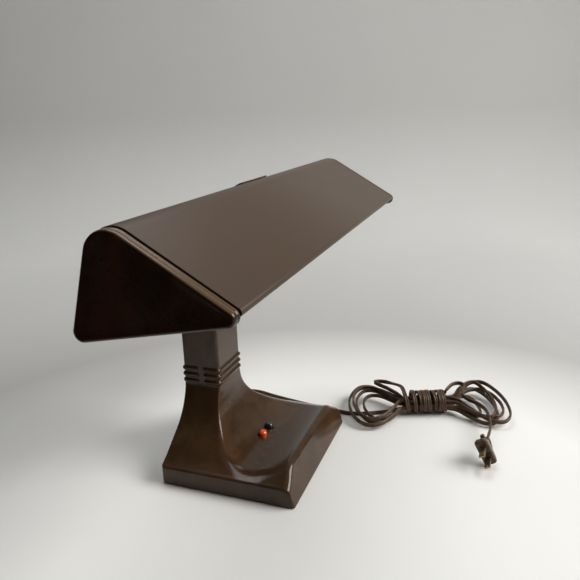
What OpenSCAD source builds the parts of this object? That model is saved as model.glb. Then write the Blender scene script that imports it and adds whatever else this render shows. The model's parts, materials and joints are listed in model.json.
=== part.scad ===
// Manual-start fluorescent desk lamp: moulded base and neck, folded shade on a tilting
// bracket, one straight tube, and a mains cord tied in a hank.
// The origin is on the table under the middle of the base. +X is to the lamp's left-to-right
// length, +Y points to its back, and +Z points up. All sizes are in millimetres.

/* [Base] */
// Width of the base, side to side
base_w = 175; // [170:1:180]
// Depth of the base, front to back
base_d = 145; // [143:1:147]
// Wall thickness of the moulding
wall = 3.5; // [3:0.1:3.8]
// Height of the upright band around the base
plinth_h = 19.3; // [18:0.1:20]
// Radius of the plan corners of the base
corner_r = 4; // [4:1:9]

/* [Neck] */
// Width of the square neck
neck_w = 52; // [50:1:54]
// Height of the top of the neck
neck_top = 274; // [272:1:278]
// Height of the lowest rib
rib_z = 89; // [86:1:92]
// Distance from one rib to the next
rib_pitch = 7; // [6:0.5:7.5]
// Radius of a rib
rib_r = 2.3; // [2:0.1:2.6]

/* [Shade] */
// Length of the folded sheet
shade_len = 470; // [470:1:480]
// Thickness of the sheet
sheet_t = 0.9; // [0.7:0.1:1]
// Length of an end cap that shows past the sheet
cap_len = 10; // [8:1:12]
// Radius of the ridge along the top
ridge_r = 19.5; // [18:0.5:22]

/* [Tube] */
// Radius of the glass
glass_r = 12.6; // [12:0.1:12.6]
// Length over the two metal end caps
tube_len = 437.4; // [436:0.1:438]

/* [Buttons] */
// Radius of a button
button_r = 4.7; // [4.2:0.1:4.7]
// Distance between the two buttons
button_pitch = 18; // [17:0.5:20]
// Distance a button travels
button_travel = 3; // [2:0.5:3]

/* [Cord] */
// Radius of the cord
cord_r = 2.8; // [2.4:0.1:2.8]

/* [Hidden] */

bakelite = [0.22, 0.13, 0.08];
brown_paint = [0.36, 0.31, 0.27];
steel = [0.62, 0.63, 0.64];
brass = [0.72, 0.58, 0.32];
cord_brown = [0.28, 0.22, 0.17];

far = 400;                              // longer than any cut needs
fit = 0.05;                             // clearance of a running fit
seat_gap = 0.02;                        // clearance between two faces that rest on each other

// Base and neck
half_w = base_w / 2;
half_d = base_d / 2;
rim_z = 0.5;                            // the rim stands just clear of the table
flare_r = 65;                           // concave sides under the neck
flare_z = 96;
flare_x = neck_w / 2 + flare_r;
flare_angle = 36.8;                     // slope of the straight stretch under the flare
ledge_z = 22.7;
scoop_r = 52;                           // concave dish, tight where it rises to the neck
scoop_c = [-20.6, 76.4];
scoop_front_r = 75;                     // and flatter towards the front
scoop_front_c = [scoop_c.x, scoop_c.y - scoop_r + scoop_front_r];
neck_front = scoop_c.x + scoop_r;
lip_r = 6;                              // rounded lip along the front
lip_z = 27.2;
lip_c = [scoop_c.x - sqrt(pow(scoop_front_r + lip_r, 2) - pow(scoop_front_c.y - lip_z, 2)), lip_z];
lip_from_foot = lip_c - [-half_d, rim_z];
front_lean = acos(lip_r / norm(lip_from_foot)) - atan2(lip_from_foot.y, lip_from_foot.x);
neck_mid = (neck_front + half_d) / 2;
cord_exit = [45, 11];                   // X and Z of the hole for the cord in the rear wall
cord_hole_r = 5;

// Bottom cover
felt_t = 2;
cover_t = 1.2;
cover_top = felt_t + cover_t;
cover_gap = 0.3;
cover_ease = 1;                         // more room at the leaning front wall
boss_r = 5;
boss_at = [for (x = [-70, 70], y = [-52, 54]) [x, y]];
cover_screw_r = 1.7;

// Ballast
core_x = 30;
core_y = [33, 59];
core_z = [3.4, 35.4];
window_x = [10, 20];
window_z = [11, 28];
strap_t = 1.2;
strap_foot = 10;

// Switch and buttons
button_y = -8.3;
seat_z = 22.6;                          // spot face under the dish that stops a button
flange_t = 1.3;
flange_top = seat_z - 0.1;
flange_z = flange_top - flange_t;
button_top = 32;
switch_z = [4.2, 14];
switch_size = [40, 22];
plate_t = 1;
switch_ear_x = 27;
spring_pocket_z = 6;
spring_r = 3.4;
spring_wire_r = 0.35;
spring_turns = 6;

// Hinge
pivot = [22.5, 260];                    // Y and Z of the tilting axis
ear_r = 7;
bolt_r = 2.5;
ear_t = 1.5;
neck_ear_x = 16;                        // outer face of the neck bracket's ears
washer_t = 1;
sleeve_r = 3;
sleeve_gap = 1;
wire_hole_r = 4.5;                      // hole for the wires, in the neck and in the shade
bracket_screw_z = 9.5;                  // screws of the neck bracket, above and below the axis
neck_plate_t = 1.6;

// Shade section: three outward normals with their distances from the origin, in Y and Z
slope_angle = 31.1;
rear_angle = 16.2;
bottom_angle = 10.85;
n_front = [-sin(slope_angle), cos(slope_angle)];
n_rear = [cos(rear_angle), sin(rear_angle)];
n_bottom = [-sin(bottom_angle), -cos(bottom_angle)];
d_front = 266.2;
d_rear = 84.95;
d_bottom = -224;
corner_rear_r = 8;
corner_front_r = 3.2;
cap_drop = 4.7;                         // the end caps reach lower than the sheet
mouth_y = [-90, -16];                   // opening under the tube
reflector_t = 0.6;
reflector_drop = 4;                     // gap from the sheet's outside to the reflector
bracket_w = 59;
bracket_t = 1.5;

// Tube and lampholders
tube_c = [-42, 255];
pin_r = 1.175;
pin_len = 7.1;
pin_half_pitch = 6.35;
holder_x = [219.5, 231.5];
rotor_x = [219.6, 224.6];
rotor_r = 9;
bracket_plate_t = 1;

// Intersection of two lines given by their normals and distances
function meet(n1, d1, n2, d2) =
    [(d1 * n2.y - d2 * n1.y), (n1.x * d2 - n2.x * d1)] / (n1.x * n2.y - n2.x * n1.y);

// Extrudes a Y-Z outline along X between two stations
module along_x(x1, x2) {
    translate([x1, 0, 0]) rotate([90, 0, 90]) linear_extrude(x2 - x1) children();
}

// Extrudes an X-Z outline along Y between two stations
module along_y(y1, y2) {
    translate([0, y2, 0]) rotate([90, 0, 0]) linear_extrude(y2 - y1) children();
}

module both_sides() {
    children();
    mirror([1, 0, 0]) children();
}

module rod_x(x1, x2, y, z, r, sides = 48) {
    translate([x1, y, z]) rotate([0, 90, 0]) cylinder(h = x2 - x1, r = r, $fn = sides);
}

// A straight round bar between two points
module bar(p, q, r) {
    step = q - p;
    translate(p) rotate([0, acos(step.z / norm(step)), atan2(step.y, step.x)])
        cylinder(h = norm(step), r = r, $fn = 24);
}

// A flexible round strand through a list of points
module strand(points, r) {
    for (i = [0 : len(points) - 2]) hull() for (p = [points[i], points[i + 1]])
        translate(p) sphere(r, $fn = 8);
}

module rounded_rect(w, d, r) {
    square([w - 2 * r, d], center = true);
    square([w, d - 2 * r], center = true);
    for (x = [-1, 1], y = [-1, 1])
        translate([x * (w / 2 - r), y * (d / 2 - r)]) circle(r, $fn = 48);
}

// A slotted pan-head screw along Z, with its head above z = 0
module screw(head_r, head_h, shank_r, length) {
    difference() {
        cylinder(h = head_h, r = head_r, $fn = 40);
        translate([-head_r, -0.4, head_h * 0.5]) cube([2 * head_r, 0.8, head_h]);
    }
    translate([0, 0, -length]) cylinder(h = length, r = shank_r, $fn = 32);
}

// Points along an arc, from one angle to another
function arc(centre, r, from, to, steps) = [for (i = [0 : steps])
    centre + r * [cos(from + (to - from) * i / steps), sin(from + (to - from) * i / steps)]];

// Rounded three-sided outline of the shade, moved in by t
module shade_outline(t, front = 0, rear = 0, bottom = 0, r_top = ridge_r,
                     r_rear = corner_rear_r, r_front = corner_front_r) {
    df = d_front - front;
    dr = d_rear - rear;
    db = d_bottom - bottom;
    top = meet(n_front, df - r_top, n_rear, dr - r_top);
    back = meet(n_rear, dr - r_rear, n_bottom, db - r_rear);
    nose = meet(n_bottom, db - r_front, n_front, df - r_front);
    front_dir = 90 + slope_angle;
    bottom_dir = -90 - bottom_angle;
    polygon(concat(arc(top, r_top - t, front_dir, rear_angle, 14),
        arc(back, r_rear - t, rear_angle, bottom_dir, 12),
        arc(nose, r_front - t, bottom_dir, front_dir - 360, 10)));
}

// Places children on the tilting axis with +Z along the outward normal of the rear wall
module rear_wall_frame(x = 0, along = 0) {
    translate([x, pivot.x, pivot.y]) rotate([rear_angle - 90, 0, 0]) translate([0, along, 0])
        children();
}

// Distance from the tilting axis to the outer face of the sheet's rear wall
rear_gap = pivot.x * n_rear.x + pivot.y * n_rear.y - d_rear;

// ---------------------------------------------------------------- base

// Front view of the base and neck, moved in by t
module front_outline(t, bottom) {
    r = flare_r + t;
    arc_end = [flare_x - r * sin(flare_angle), flare_z - r * cos(flare_angle)];
    ledge = [arc_end.x + (arc_end.y - ledge_z + t) / tan(flare_angle), ledge_z - t];
    right = [[half_w - t, bottom], [half_w - t, plinth_h - t], ledge, arc_end,
        [flare_x, flare_z], [neck_w / 2 - t, flare_z], [neck_w / 2 - t, neck_top - t]];
    left = [for (i = [len(right) - 1 : -1 : 0]) [-right[i].x, right[i].y]];
    difference() {
        polygon(concat(right, left));
        for (s = [-1, 1]) translate([s * flare_x, flare_z]) circle(r, $fn = 120);
    }
}

// Side view of the base and neck, moved in by t. The front leans back from the table to the lip.
module side_outline(t, bottom) {
    n = [-cos(front_lean), sin(front_lean)];
    d = n * lip_c + lip_r - t;
    foot = [(d - n.y * bottom) / n.x, bottom];
    difference() {
        union() {
            polygon([foot, [half_d - t, bottom], [half_d - t, neck_top - t],
                [neck_front + t, neck_top - t], [neck_front + t, scoop_c.y], scoop_c, lip_c,
                lip_c + n * (lip_r - t)]);
            translate(lip_c) circle(lip_r - t, $fn = 48);
        }
        intersection() {
            translate(scoop_c) circle(scoop_r + t, $fn = 120);
            translate([scoop_c.x, 0]) square(far);
        }
        intersection() {
            translate(scoop_front_c) circle(scoop_front_r + t, $fn = 160);
            translate([scoop_c.x - far, 0]) square(far);
        }
    }
}

module base_form(t, bottom) {
    intersection() {
        along_y(-half_d - 1, half_d + 1) front_outline(t, bottom);
        along_x(-half_w - 1, half_w + 1) side_outline(t, bottom);
        linear_extrude(far) rounded_rect(base_w - 2 * t, base_d - 2 * t, corner_r - min(t, 3));
    }
}

// Ribs around the neck. Each side keeps a plain strip up its middle.
module neck_ribs() {
    sink = 0.5;
    strip = 5.8;
    x = neck_w / 2 - sink;
    front = neck_front + sink;
    rear = half_d - sink;
    for (i = [0 : 2]) translate([0, 0, rib_z + i * rib_pitch]) {
        for (y = [front, rear]) rod_x(-x, x, y, 0, rib_r);
        for (s = [-1, 1]) {
            for (y = [front, neck_mid + strip / 2]) translate([s * x, y, 0]) rotate([-90, 0, 0])
                cylinder(h = (rear - front - strip) / 2, r = rib_r, $fn = 48);
            for (y = [front, rear]) translate([s * x, y, 0]) sphere(rib_r, $fn = 48);
        }
    }
}

module button_places() {
    for (s = [-1, 1]) translate([s * button_pitch / 2, button_y, 0]) children();
}

module base_shell() {
    boss_top = 25;
    switch_boss_r = 4;
    switch_boss_z = switch_z[1] + plate_t;
    color(bakelite) difference() {
        union() {
            difference() {
                union() {
                    base_form(0, rim_z);
                    neck_ribs();
                }
                base_form(wall, -1);
            }
            for (p = boss_at) translate([p.x, p.y, cover_top])
                cylinder(h = boss_top - cover_top, r = boss_r, $fn = 48);
            for (s = [-1, 1]) translate([s * switch_ear_x, button_y, switch_boss_z])
                cylinder(h = 24 - switch_boss_z, r = switch_boss_r, $fn = 48);
        }
        for (p = boss_at) translate([p.x, p.y, 0]) cylinder(h = 18, r = cover_screw_r + fit, $fn = 32);
        for (s = [-1, 1]) translate([s * switch_ear_x, button_y, 0])
            cylinder(h = 20, r = 1.5 + fit, $fn = 32);
        button_places() {
            cylinder(h = 60, r = button_r + 0.1, $fn = 64);
            cylinder(h = seat_z, r = button_r + 1.7, $fn = 64);
        }
        translate([cord_exit.x, half_d + 1, cord_exit.y]) rotate([90, 0, 0])
            cylinder(h = 8, r = cord_hole_r, $fn = 48);
        translate([0, neck_front + wall + 1, pivot.y]) rotate([90, 0, 0])
            cylinder(h = wall + 4, r = wire_hole_r, $fn = 48);
        for (z = [-bracket_screw_z, bracket_screw_z])
            translate([0, neck_front + wall + 1, pivot.y + z]) rotate([90, 0, 0])
            cylinder(h = wall + 4, r = 1.5 + fit, $fn = 32);
    }
}

module bottom_cover() {
    inset = wall + cover_gap;
    color(steel) difference() {
        translate([0, 0, felt_t]) linear_extrude(cover_t)
            rounded_rect(base_w - 2 * inset, base_d - 2 * (inset + cover_ease), corner_r - 3);
        for (p = boss_at) translate([p.x, p.y, 0]) cylinder(h = 9, r = cover_screw_r + 0.3, $fn = 32);
        ballast_screw_places() cylinder(h = 9, r = 1.5 + fit, center = true, $fn = 32);
    }
}

module felt_pad() {
    inset = wall + 1;
    color([0.2, 0.17, 0.14]) difference() {
        linear_extrude(felt_t)
            rounded_rect(base_w - 2 * inset, base_d - 2 * (inset + cover_ease), corner_r - 3);
        for (p = boss_at) translate([p.x, p.y, -1]) cylinder(h = 9, r = boss_r + 0.2, $fn = 40);
    }
}

module cover_screws() {
    head_h = 1.6;
    color(steel) for (p = boss_at) translate([p.x, p.y, felt_t]) rotate([180, 0, 0])
        screw(4, head_h, cover_screw_r, 13);
}

// ---------------------------------------------------------------- ballast

module ballast_screw_places() {
    for (s = [-1, 1])
        translate([s * (core_x + strap_t + strap_foot / 2), (core_y[0] + core_y[1]) / 2,
            cover_top + strap_t]) children();
}

module ballast_core() {
    color([0.35, 0.35, 0.36]) along_y(core_y[0], core_y[1]) difference() {
        translate([-core_x, core_z[0]]) square([2 * core_x, core_z[1] - core_z[0]]);
        for (s = [-1, 1]) translate([s * (window_x[0] + window_x[1]) / 2, (window_z[0] + window_z[1]) / 2])
            square([window_x[1] - window_x[0], window_z[1] - window_z[0]], center = true);
    }
}

module ballast_coil() {
    gap = 0.2;
    wind = 5.8;
    depth = core_y[1] - core_y[0];
    color([0.55, 0.33, 0.16]) translate([0, (core_y[0] + core_y[1]) / 2, window_z[0] + gap])
        linear_extrude(window_z[1] - window_z[0] - 2 * gap) difference() {
            rounded_rect(2 * (window_x[1] - gap), depth + 2 * (wind + gap), 3);
            square([2 * (window_x[0] + gap), depth + 2 * gap], center = true);
        }
}

module ballast_strap() {
    y1 = core_y[0] + 6;
    y2 = core_y[1] - 6;
    top = core_z[1] + 0.1;
    side = core_x + 0.1;
    color(steel) difference() {
        along_y(y1, y2) {
            translate([-side - strap_t, top]) square([2 * (side + strap_t), strap_t]);
            for (s = [0, 1]) mirror([s, 0]) {
                translate([side, cover_top]) square([strap_t, top - cover_top + strap_t]);
                translate([side, cover_top]) square([strap_t + strap_foot, strap_t]);
            }
        }
        ballast_screw_places() cylinder(h = 9, r = 1.5 + fit, center = true, $fn = 32);
    }
}

module ballast_screws() {
    color(steel) ballast_screw_places() screw(3, 1.6, 1.5, 2.4);
}

// ---------------------------------------------------------------- switch

module switch_body() {
    color([0.12, 0.1, 0.09]) difference() {
        translate([0, button_y, (switch_z[0] + switch_z[1]) / 2])
            cube([switch_size.x, switch_size.y, switch_z[1] - switch_z[0]], center = true);
        button_places() translate([0, 0, spring_pocket_z]) cylinder(h = 20, r = 4.5, $fn = 48);
    }
}

module switch_plate() {
    color(steel) translate([0, button_y, switch_z[1]]) linear_extrude(plate_t) difference() {
        union() {
            square(switch_size, center = true);
            square([2 * switch_ear_x, 9], center = true);
            for (s = [-1, 1]) translate([s * switch_ear_x, 0]) circle(4.5, $fn = 48);
        }
        for (s = [-1, 1]) {
            translate([s * switch_ear_x, 0]) circle(1.6, $fn = 32);
            translate([s * button_pitch / 2, 0]) circle(4.6, $fn = 48);
        }
    }
}

module switch_screws() {
    color(steel) for (s = [-1, 1]) translate([s * switch_ear_x, button_y, switch_z[1]])
        rotate([180, 0, 0]) screw(3, 1.8, 1.5, 5.5);
}

module switch_terminals() {
    tag = [3.2, 6, 0.8];
    rear = button_y + switch_size.y / 2;
    color(brass) for (x = [-15, -5, 5, 15]) difference() {
        translate([x - tag.x / 2, rear, 8]) cube(tag);
        translate([x, rear + tag.y - 1.6, 0]) cylinder(h = 20, r = 0.7, $fn = 24);
    }
}

module spring(s) {
    height = flange_z - spring_pocket_z - 2 * spring_wire_r;
    color(steel) translate([s * button_pitch / 2, button_y, spring_pocket_z + spring_wire_r])
        linear_extrude(height, twist = -360 * spring_turns, slices = 12 * spring_turns)
            translate([spring_r, 0]) scale([1, 3.2]) circle(spring_wire_r, $fn = 6);
}

module start_spring() {
    spring(-1);
}

module stop_spring() {
    spring(1);
}

module button(s, tint) {
    shoulder = button_top - button_r * 0.62;
    dome_r = button_r * 1.12;
    color(tint) translate([s * button_pitch / 2, button_y, 0]) {
        translate([0, 0, flange_z]) cylinder(h = flange_t, r = button_r + 1.3, $fn = 64);
        translate([0, 0, flange_z]) cylinder(h = shoulder - flange_z, r = button_r, $fn = 64);
        intersection() {
            translate([0, 0, shoulder - 1]) cylinder(h = 20, r = button_r, $fn = 64);
            translate([0, 0, button_top - dome_r]) sphere(dome_r, $fn = 64);
        }
        translate([0, 0, spring_pocket_z + button_travel + 1])
            cylinder(h = flange_z - spring_pocket_z - button_travel, r = 2, $fn = 32);
    }
}

module start_button() {
    button(-1, [0.85, 0.2, 0.04]);
}

module stop_button() {
    button(1, [0.06, 0.06, 0.06]);
}

// ---------------------------------------------------------------- cord

module cord_grommet() {
    color([0.08, 0.08, 0.08]) translate([cord_exit.x, half_d, cord_exit.y]) rotate([90, 0, 0]) difference() {
        union() {
            translate([0, 0, -1.5]) cylinder(h = 1.5, r = 7, $fn = 48);
            cylinder(h = wall, r = cord_hole_r - fit, $fn = 48);
            translate([0, 0, wall]) cylinder(h = 1.5, r = 6.2, $fn = 48);
        }
        translate([0, 0, -2]) cylinder(h = 20, r = cord_r + 0.02, $fn = 48);
    }
}

module cord_loops(x, y, r) {
    bundle_r = 9;
    translate([x, y, bundle_r]) rotate_extrude($fn = 32) translate([r, 0]) circle(bundle_r, $fn = 10);
}

module power_cord() {
    z = cord_r + 0.1;
    lead = [[cord_exit.x, 64, cord_exit.y], [cord_exit.x, 81, cord_exit.y], [52, 90, 6],
        [66, 100, z], [92, 104, z], [115, 93, z], [128, 76, z], [127, 56, z],
        [120, 30, z], [115.5, 6, z], [110.5, -22, z], [108, -50, z],
        [106.5, -78, z], [112, -84, 7]];
    tail = [[141, -230, 9], [120, -236, 13], [103, -238.6, 15.5], [82, -239, 16.5], [69, -237.5, 16.6]];
    color(cord_brown) {
        strand(lead, cord_r);
        strand(tail, cord_r);
        cord_loops(120, -110, 30);
        cord_loops(159, -217, 33);
        strand([[136, -138, 13.2], [151, -190, 13.2]], 13);
    }
}

plug_c = [39, -237.5, 16.6];            // middle of the plug's face
plug_roll = -28;                        // the plug lies rolled over to the back of the lamp
module plug_body() {
    t = 14;
    profile = [[0, -13.5], [0, 13.5], [5, 15], [10, 14], [19, 6], [27, 4.6], [27, -4.6],
        [19, -6], [10, -14], [5, -14.9]];
    color(cord_brown) translate(plug_c) rotate([90 + plug_roll, 0, 0]) translate([0, 0, -t / 2])
        linear_extrude(t) polygon(profile);
}

module plug_blades() {
    color(brass) translate(plug_c) rotate([plug_roll, 0, 0])
        for (s = [-1, 1]) translate([-17.5, 0, s * 6.35]) difference() {
            translate([0, -3.15, -0.75]) cube([17.5, 6.3, 1.5]);
            translate([3.6, 0, -2]) cylinder(h = 4, r = 1.6, $fn = 32);
        }
}

// ---------------------------------------------------------------- wiring in the stand

module base_wiring() {
    r = 1.1;
    color([0.1, 0.1, 0.1]) {
        strand([[cord_exit.x, 60, cord_exit.y], [45, 24, 9], [15, 16, 8.4], [15, 10, 8.4]], r);
        strand([[-15, 10, 8.4], [-15, 16, 8.4], [-44, 24, 10], [-37, 46, 30], [-34, 50, 40],
            [-14, 50, 46], [-12, 50, 245], [0, 50, 259], [0, 42.9, 260]], r);
    }
}

module neck_bushing() {
    color([0.08, 0.08, 0.08]) translate([0, neck_front - neck_plate_t, pivot.y]) rotate([-90, 0, 0])
        difference() {
            union() {
                translate([0, 0, -1]) cylinder(h = 1, r = 5.4, $fn = 48);
                cylinder(h = wall + neck_plate_t, r = wire_hole_r - fit, $fn = 48);
            }
            translate([0, 0, -2]) cylinder(h = 20, r = sleeve_r + 0.03, $fn = 48);
        }
}

// ---------------------------------------------------------------- hinge

module neck_bracket() {
    plate_h = 13;
    front = neck_front - neck_plate_t;
    color(steel) difference() {
        union() {
            translate([-neck_ear_x, front, pivot.y - plate_h])
                cube([2 * neck_ear_x, neck_plate_t, 2 * plate_h]);
            both_sides() along_x(neck_ear_x - neck_plate_t, neck_ear_x) {
                translate(pivot) circle(ear_r, $fn = 64);
                translate([pivot.x, pivot.y - ear_r]) square([front + 0.5 - pivot.x, 2 * ear_r]);
            }
        }
        rod_x(-far, far, pivot.x, pivot.y, bolt_r + fit);
        translate([0, front - 3, pivot.y]) rotate([-90, 0, 0])
            cylinder(h = 8, r = wire_hole_r, $fn = 48);
        for (z = [-bracket_screw_z, bracket_screw_z]) translate([0, front - 3, pivot.y + z]) rotate([-90, 0, 0])
            cylinder(h = 8, r = 1.6, $fn = 32);
    }
}

module neck_bracket_screws() {
    color(steel) for (z = [-bracket_screw_z, bracket_screw_z])
        translate([0, neck_front - neck_plate_t, pivot.y + z]) rotate([90, 0, 0]) screw(2.9, 1.5, 1.5, 6);
}

shade_ear_x = neck_ear_x + washer_t;    // inner face of the shade bracket's ears

module pivot_bolts() {
    color(steel) both_sides() {
        rod_x(12, shade_ear_x + ear_t, pivot.x, pivot.y, bolt_r);
        difference() {
            rod_x(shade_ear_x + ear_t, shade_ear_x + ear_t + 2.6, pivot.x, pivot.y, 5);
            translate([shade_ear_x + ear_t + 1.6, pivot.x - 6, pivot.y - 0.6]) cube([3, 12, 1.2]);
        }
    }
}

module pivot_washers() {
    color([0.16, 0.12, 0.1]) both_sides() difference() {
        rod_x(neck_ear_x, neck_ear_x + washer_t, pivot.x, pivot.y, 6.4);
        rod_x(neck_ear_x - 1, far, pivot.x, pivot.y, bolt_r + fit);
    }
}

module pivot_nuts() {
    inner = neck_ear_x - neck_plate_t;
    color(steel) both_sides() difference() {
        rod_x(inner - 2.4, inner, pivot.x, pivot.y, 4.6, 6);
        rod_x(0, far, pivot.x, pivot.y, bolt_r + 0.02);
    }
}

module neck_wire_sleeve() {
    color([0.07, 0.07, 0.07]) translate([0, pivot.x + sleeve_gap, pivot.y]) rotate([-90, 0, 0])
        cylinder(h = 18, r = sleeve_r, $fn = 48);
}

module shade_wire_sleeve() {
    color([0.07, 0.07, 0.07]) rear_wall_frame() translate([0, 0, -18])
        cylinder(h = 18 - sleeve_gap, r = sleeve_r, $fn = 48);
}

module shade_grommet() {
    outer = -rear_gap + bracket_t;      // outer face of the bracket, along the wall's normal
    inner = -rear_gap - sheet_t;
    color([0.08, 0.08, 0.08]) rear_wall_frame() difference() {
        union() {
            translate([0, 0, outer]) cylinder(h = 1, r = 5.6, $fn = 48);
            translate([0, 0, inner]) cylinder(h = outer - inner, r = wire_hole_r - fit, $fn = 48);
            translate([0, 0, inner - 1.2]) cylinder(h = 1.2, r = 5.6, $fn = 48);
        }
        translate([0, 0, -20]) cylinder(h = 30, r = sleeve_r + 0.03, $fn = 48);
    }
}

// ---------------------------------------------------------------- shade

rivet_x = 23;
rivet_s = [-12, 14];                    // rivet places along the rear wall, from the axis
module rivet_places() {
    for (s = [-1, 1], a = rivet_s) rear_wall_frame(s * rivet_x, a) children();
}

module reflector_screw_places() {
    foot_y = -10;
    for (x = [-180, 0, 180])
        translate([x, foot_y, (d_bottom - n_bottom.x * foot_y) / n_bottom.y])
            rotate([180 - bottom_angle, 0, 0]) children();
}

module shade_sheet() {
    half = shade_len / 2;
    color(brown_paint) difference() {
        along_x(-half, half) difference() {
            shade_outline(0);
            shade_outline(sheet_t);
            translate([mouth_y[0], 180]) square([mouth_y[1] - mouth_y[0], 70]);
        }
        rivet_places() translate([0, 0, -20]) cylinder(h = 30, r = 2.05, $fn = 32);
        rear_wall_frame() translate([0, 0, -20]) cylinder(h = 30, r = wire_hole_r, $fn = 48);
        reflector_screw_places() cylinder(h = 8, r = 1.6, center = true, $fn = 32);
    }
}

module shade_bracket() {
    lower_z = 238;
    tab_y = -9;                         // the bracket's top edge, on the ridge
    half = bracket_w / 2;
    mid = -rear_gap + bracket_t / 2;
    color(brown_paint) difference() {
        union() {
            along_x(-half, half) intersection() {
                difference() {
                    shade_outline(-bracket_t);
                    shade_outline(0);
                }
                translate([tab_y, lower_z]) square([60, 100]);
            }
            both_sides() rear_wall_frame(shade_ear_x) rotate([0, 90, 0]) linear_extrude(ear_t) {
                circle(ear_r, $fn = 64);
                translate([0, -ear_r]) square([-mid, 2 * ear_r]);
            }
        }
        rod_x(-far, far, pivot.x, pivot.y, bolt_r + fit);
        rivet_places() translate([0, 0, -20]) cylinder(h = 30, r = 2.05, $fn = 32);
        rear_wall_frame() translate([0, 0, -20]) cylinder(h = 30, r = wire_hole_r, $fn = 48);
    }
}

module bracket_rivets() {
    outer = -rear_gap + bracket_t;
    inner = -rear_gap - sheet_t;
    color(steel) rivet_places() {
        translate([0, 0, inner]) cylinder(h = outer - inner, r = 2, $fn = 32);
        translate([0, 0, outer]) cylinder(h = 1.2, r = 3.6, $fn = 40);
        translate([0, 0, inner - 1]) cylinder(h = 1, r = 3.2, $fn = 40);
    }
}

module reflector_outline(t) {
    shade_outline(t, front = reflector_drop, rear = 22, bottom = sheet_t, r_top = 10, r_rear = 6,
        r_front = 3);
}

module reflector() {
    half = 222;
    lip_y = [-84, -17];
    color([0.93, 0.92, 0.88]) difference() {
        along_x(-half, half) difference() {
            reflector_outline(0);
            reflector_outline(reflector_t);
            translate([lip_y[0], 180]) square([lip_y[1] - lip_y[0], 62]);
        }
        reflector_screw_places() cylinder(h = 12, r = 1.55, center = true, $fn = 32);
        end_bracket_screw_places() cylinder(h = 12, r = 1.6, center = true, $fn = 32);
    }
}

module reflector_screws() {
    color(steel) reflector_screw_places() screw(3, 1.4, 1.5, 5);
}

// ---------------------------------------------------------------- shade ends

cap_face_t = 2.6;
cap_boss = [-24, 262];                  // Y and Z of the screw that holds a cap

module end_cap() {
    x0 = shade_len / 2;
    x1 = x0 + cap_len;
    tongue = 11;
    groove = 2;
    color(bakelite) {
        difference() {
            union() {
                along_x(x0, x0 + 1.4) shade_outline(0.6, bottom = -cap_drop, r_front = 6);
                along_x(x0 + 1.4, x0 + 1.4 + groove)
                    shade_outline(2.4, bottom = -cap_drop, r_front = 7);
                along_x(x0 + 1.4 + groove, x1) shade_outline(0.8, bottom = -cap_drop, r_front = 6);
            }
            along_x(x0 - 1, x1 - cap_face_t) shade_outline(4, r_front = 9);
        }
        along_x(x0 - tongue, x0) difference() {
            shade_outline(sheet_t + 0.1, r_front = corner_front_r);
            shade_outline(4, r_front = 9);
        }
        difference() {
            rod_x(holder_x[1] + bracket_plate_t, x1 - 1, cap_boss.x, cap_boss.y, 4.5);
            rod_x(0, x1 - cap_face_t, cap_boss.x, cap_boss.y, 1.5 + fit);
        }
    }
}

module left_end_cap() {
    mirror([1, 0, 0]) end_cap();
}

module right_end_cap() {
    end_cap();
}

module cap_screws() {
    color(steel) both_sides() translate([holder_x[1], cap_boss.x, cap_boss.y]) rotate([0, -90, 0])
        screw(3, 1.5, 1.5, 8);
}

reflector_face = d_front - reflector_drop - reflector_t;  // underside, along the slope's normal

module end_bracket_screw_places() {
    y = -46;
    for (x = [-212, 212])
        translate([x, y, (reflector_face + reflector_t - n_front.x * y) / n_front.y])
            rotate([slope_angle, 0, 0]) children();
}

// Angle bracket that hangs from the reflector and carries a lampholder and a cap screw
module end_brackets() {
    leg_x = 204;
    leg_y = [-56, -36];
    leg_face = reflector_face - seat_gap;
    color(steel) both_sides() difference() {
        union() {
            along_x(holder_x[1], holder_x[1] + bracket_plate_t) intersection() {
                translate([-56, 244]) square([40, 60]);
                shade_outline(reflector_drop + reflector_t + seat_gap, r_front = 9);
            }
            along_x(leg_x, holder_x[1] + bracket_plate_t)
                polygon([for (c = [[0, 0], [1, 0], [1, 1], [0, 1]]) [leg_y[c.x],
                    (leg_face - c.y * bracket_plate_t - n_front.x * leg_y[c.x]) / n_front.y]]);
        }
        rod_x(0, far, cap_boss.x, cap_boss.y, 1.6);
        end_bracket_screw_places() cylinder(h = 12, r = 1.5 + fit, center = true, $fn = 32);
    }
}

module end_bracket_screws() {
    color(steel) end_bracket_screw_places() screw(3, 1.6, 1.5, 3.2);
}

module lampholder() {
    x1 = holder_x[0];
    x2 = holder_x[1];
    color([0.9, 0.89, 0.85]) difference() {
        along_x(x1, x2) difference() {
            union() {
                translate(tube_c) circle(12.5, $fn = 64);
                translate([tube_c.x - 9, tube_c.y]) square([18, 16.5]);
            }
            translate([tube_c.x - 1.5, tube_c.y - 20]) square([3, 20]);
        }
        rod_x(x1 - 1, rotor_x[1] + 0.1, tube_c.x, tube_c.y, rotor_r + 0.1, 64);
        rod_x(x1, 228, tube_c.x, tube_c.y, 8, 64);
    }
    color([0.9, 0.89, 0.85]) along_x(228, x2) translate(tube_c) circle(12.5, $fn = 64);
}

module left_lampholder() {
    mirror([1, 0, 0]) lampholder();
}

module right_lampholder() {
    lampholder();
}

module lampholder_contacts() {
    leaf = [1.2, 3, 8];
    color(brass) both_sides() for (s = [-1, 1])
        translate([226.7, tube_c.x + s * 5 - leaf.y / 2, tube_c.y - leaf.z / 2]) cube(leaf);
}

module shade_wiring() {
    r = 1.1;
    start = [0, pivot.x - 19.3 * n_rear.x, pivot.y - 19.3 * n_rear.y];
    color([0.1, 0.1, 0.1]) bar([-214, start.y, start.z], [214, start.y, start.z], r);
}

// ---------------------------------------------------------------- tube

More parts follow.
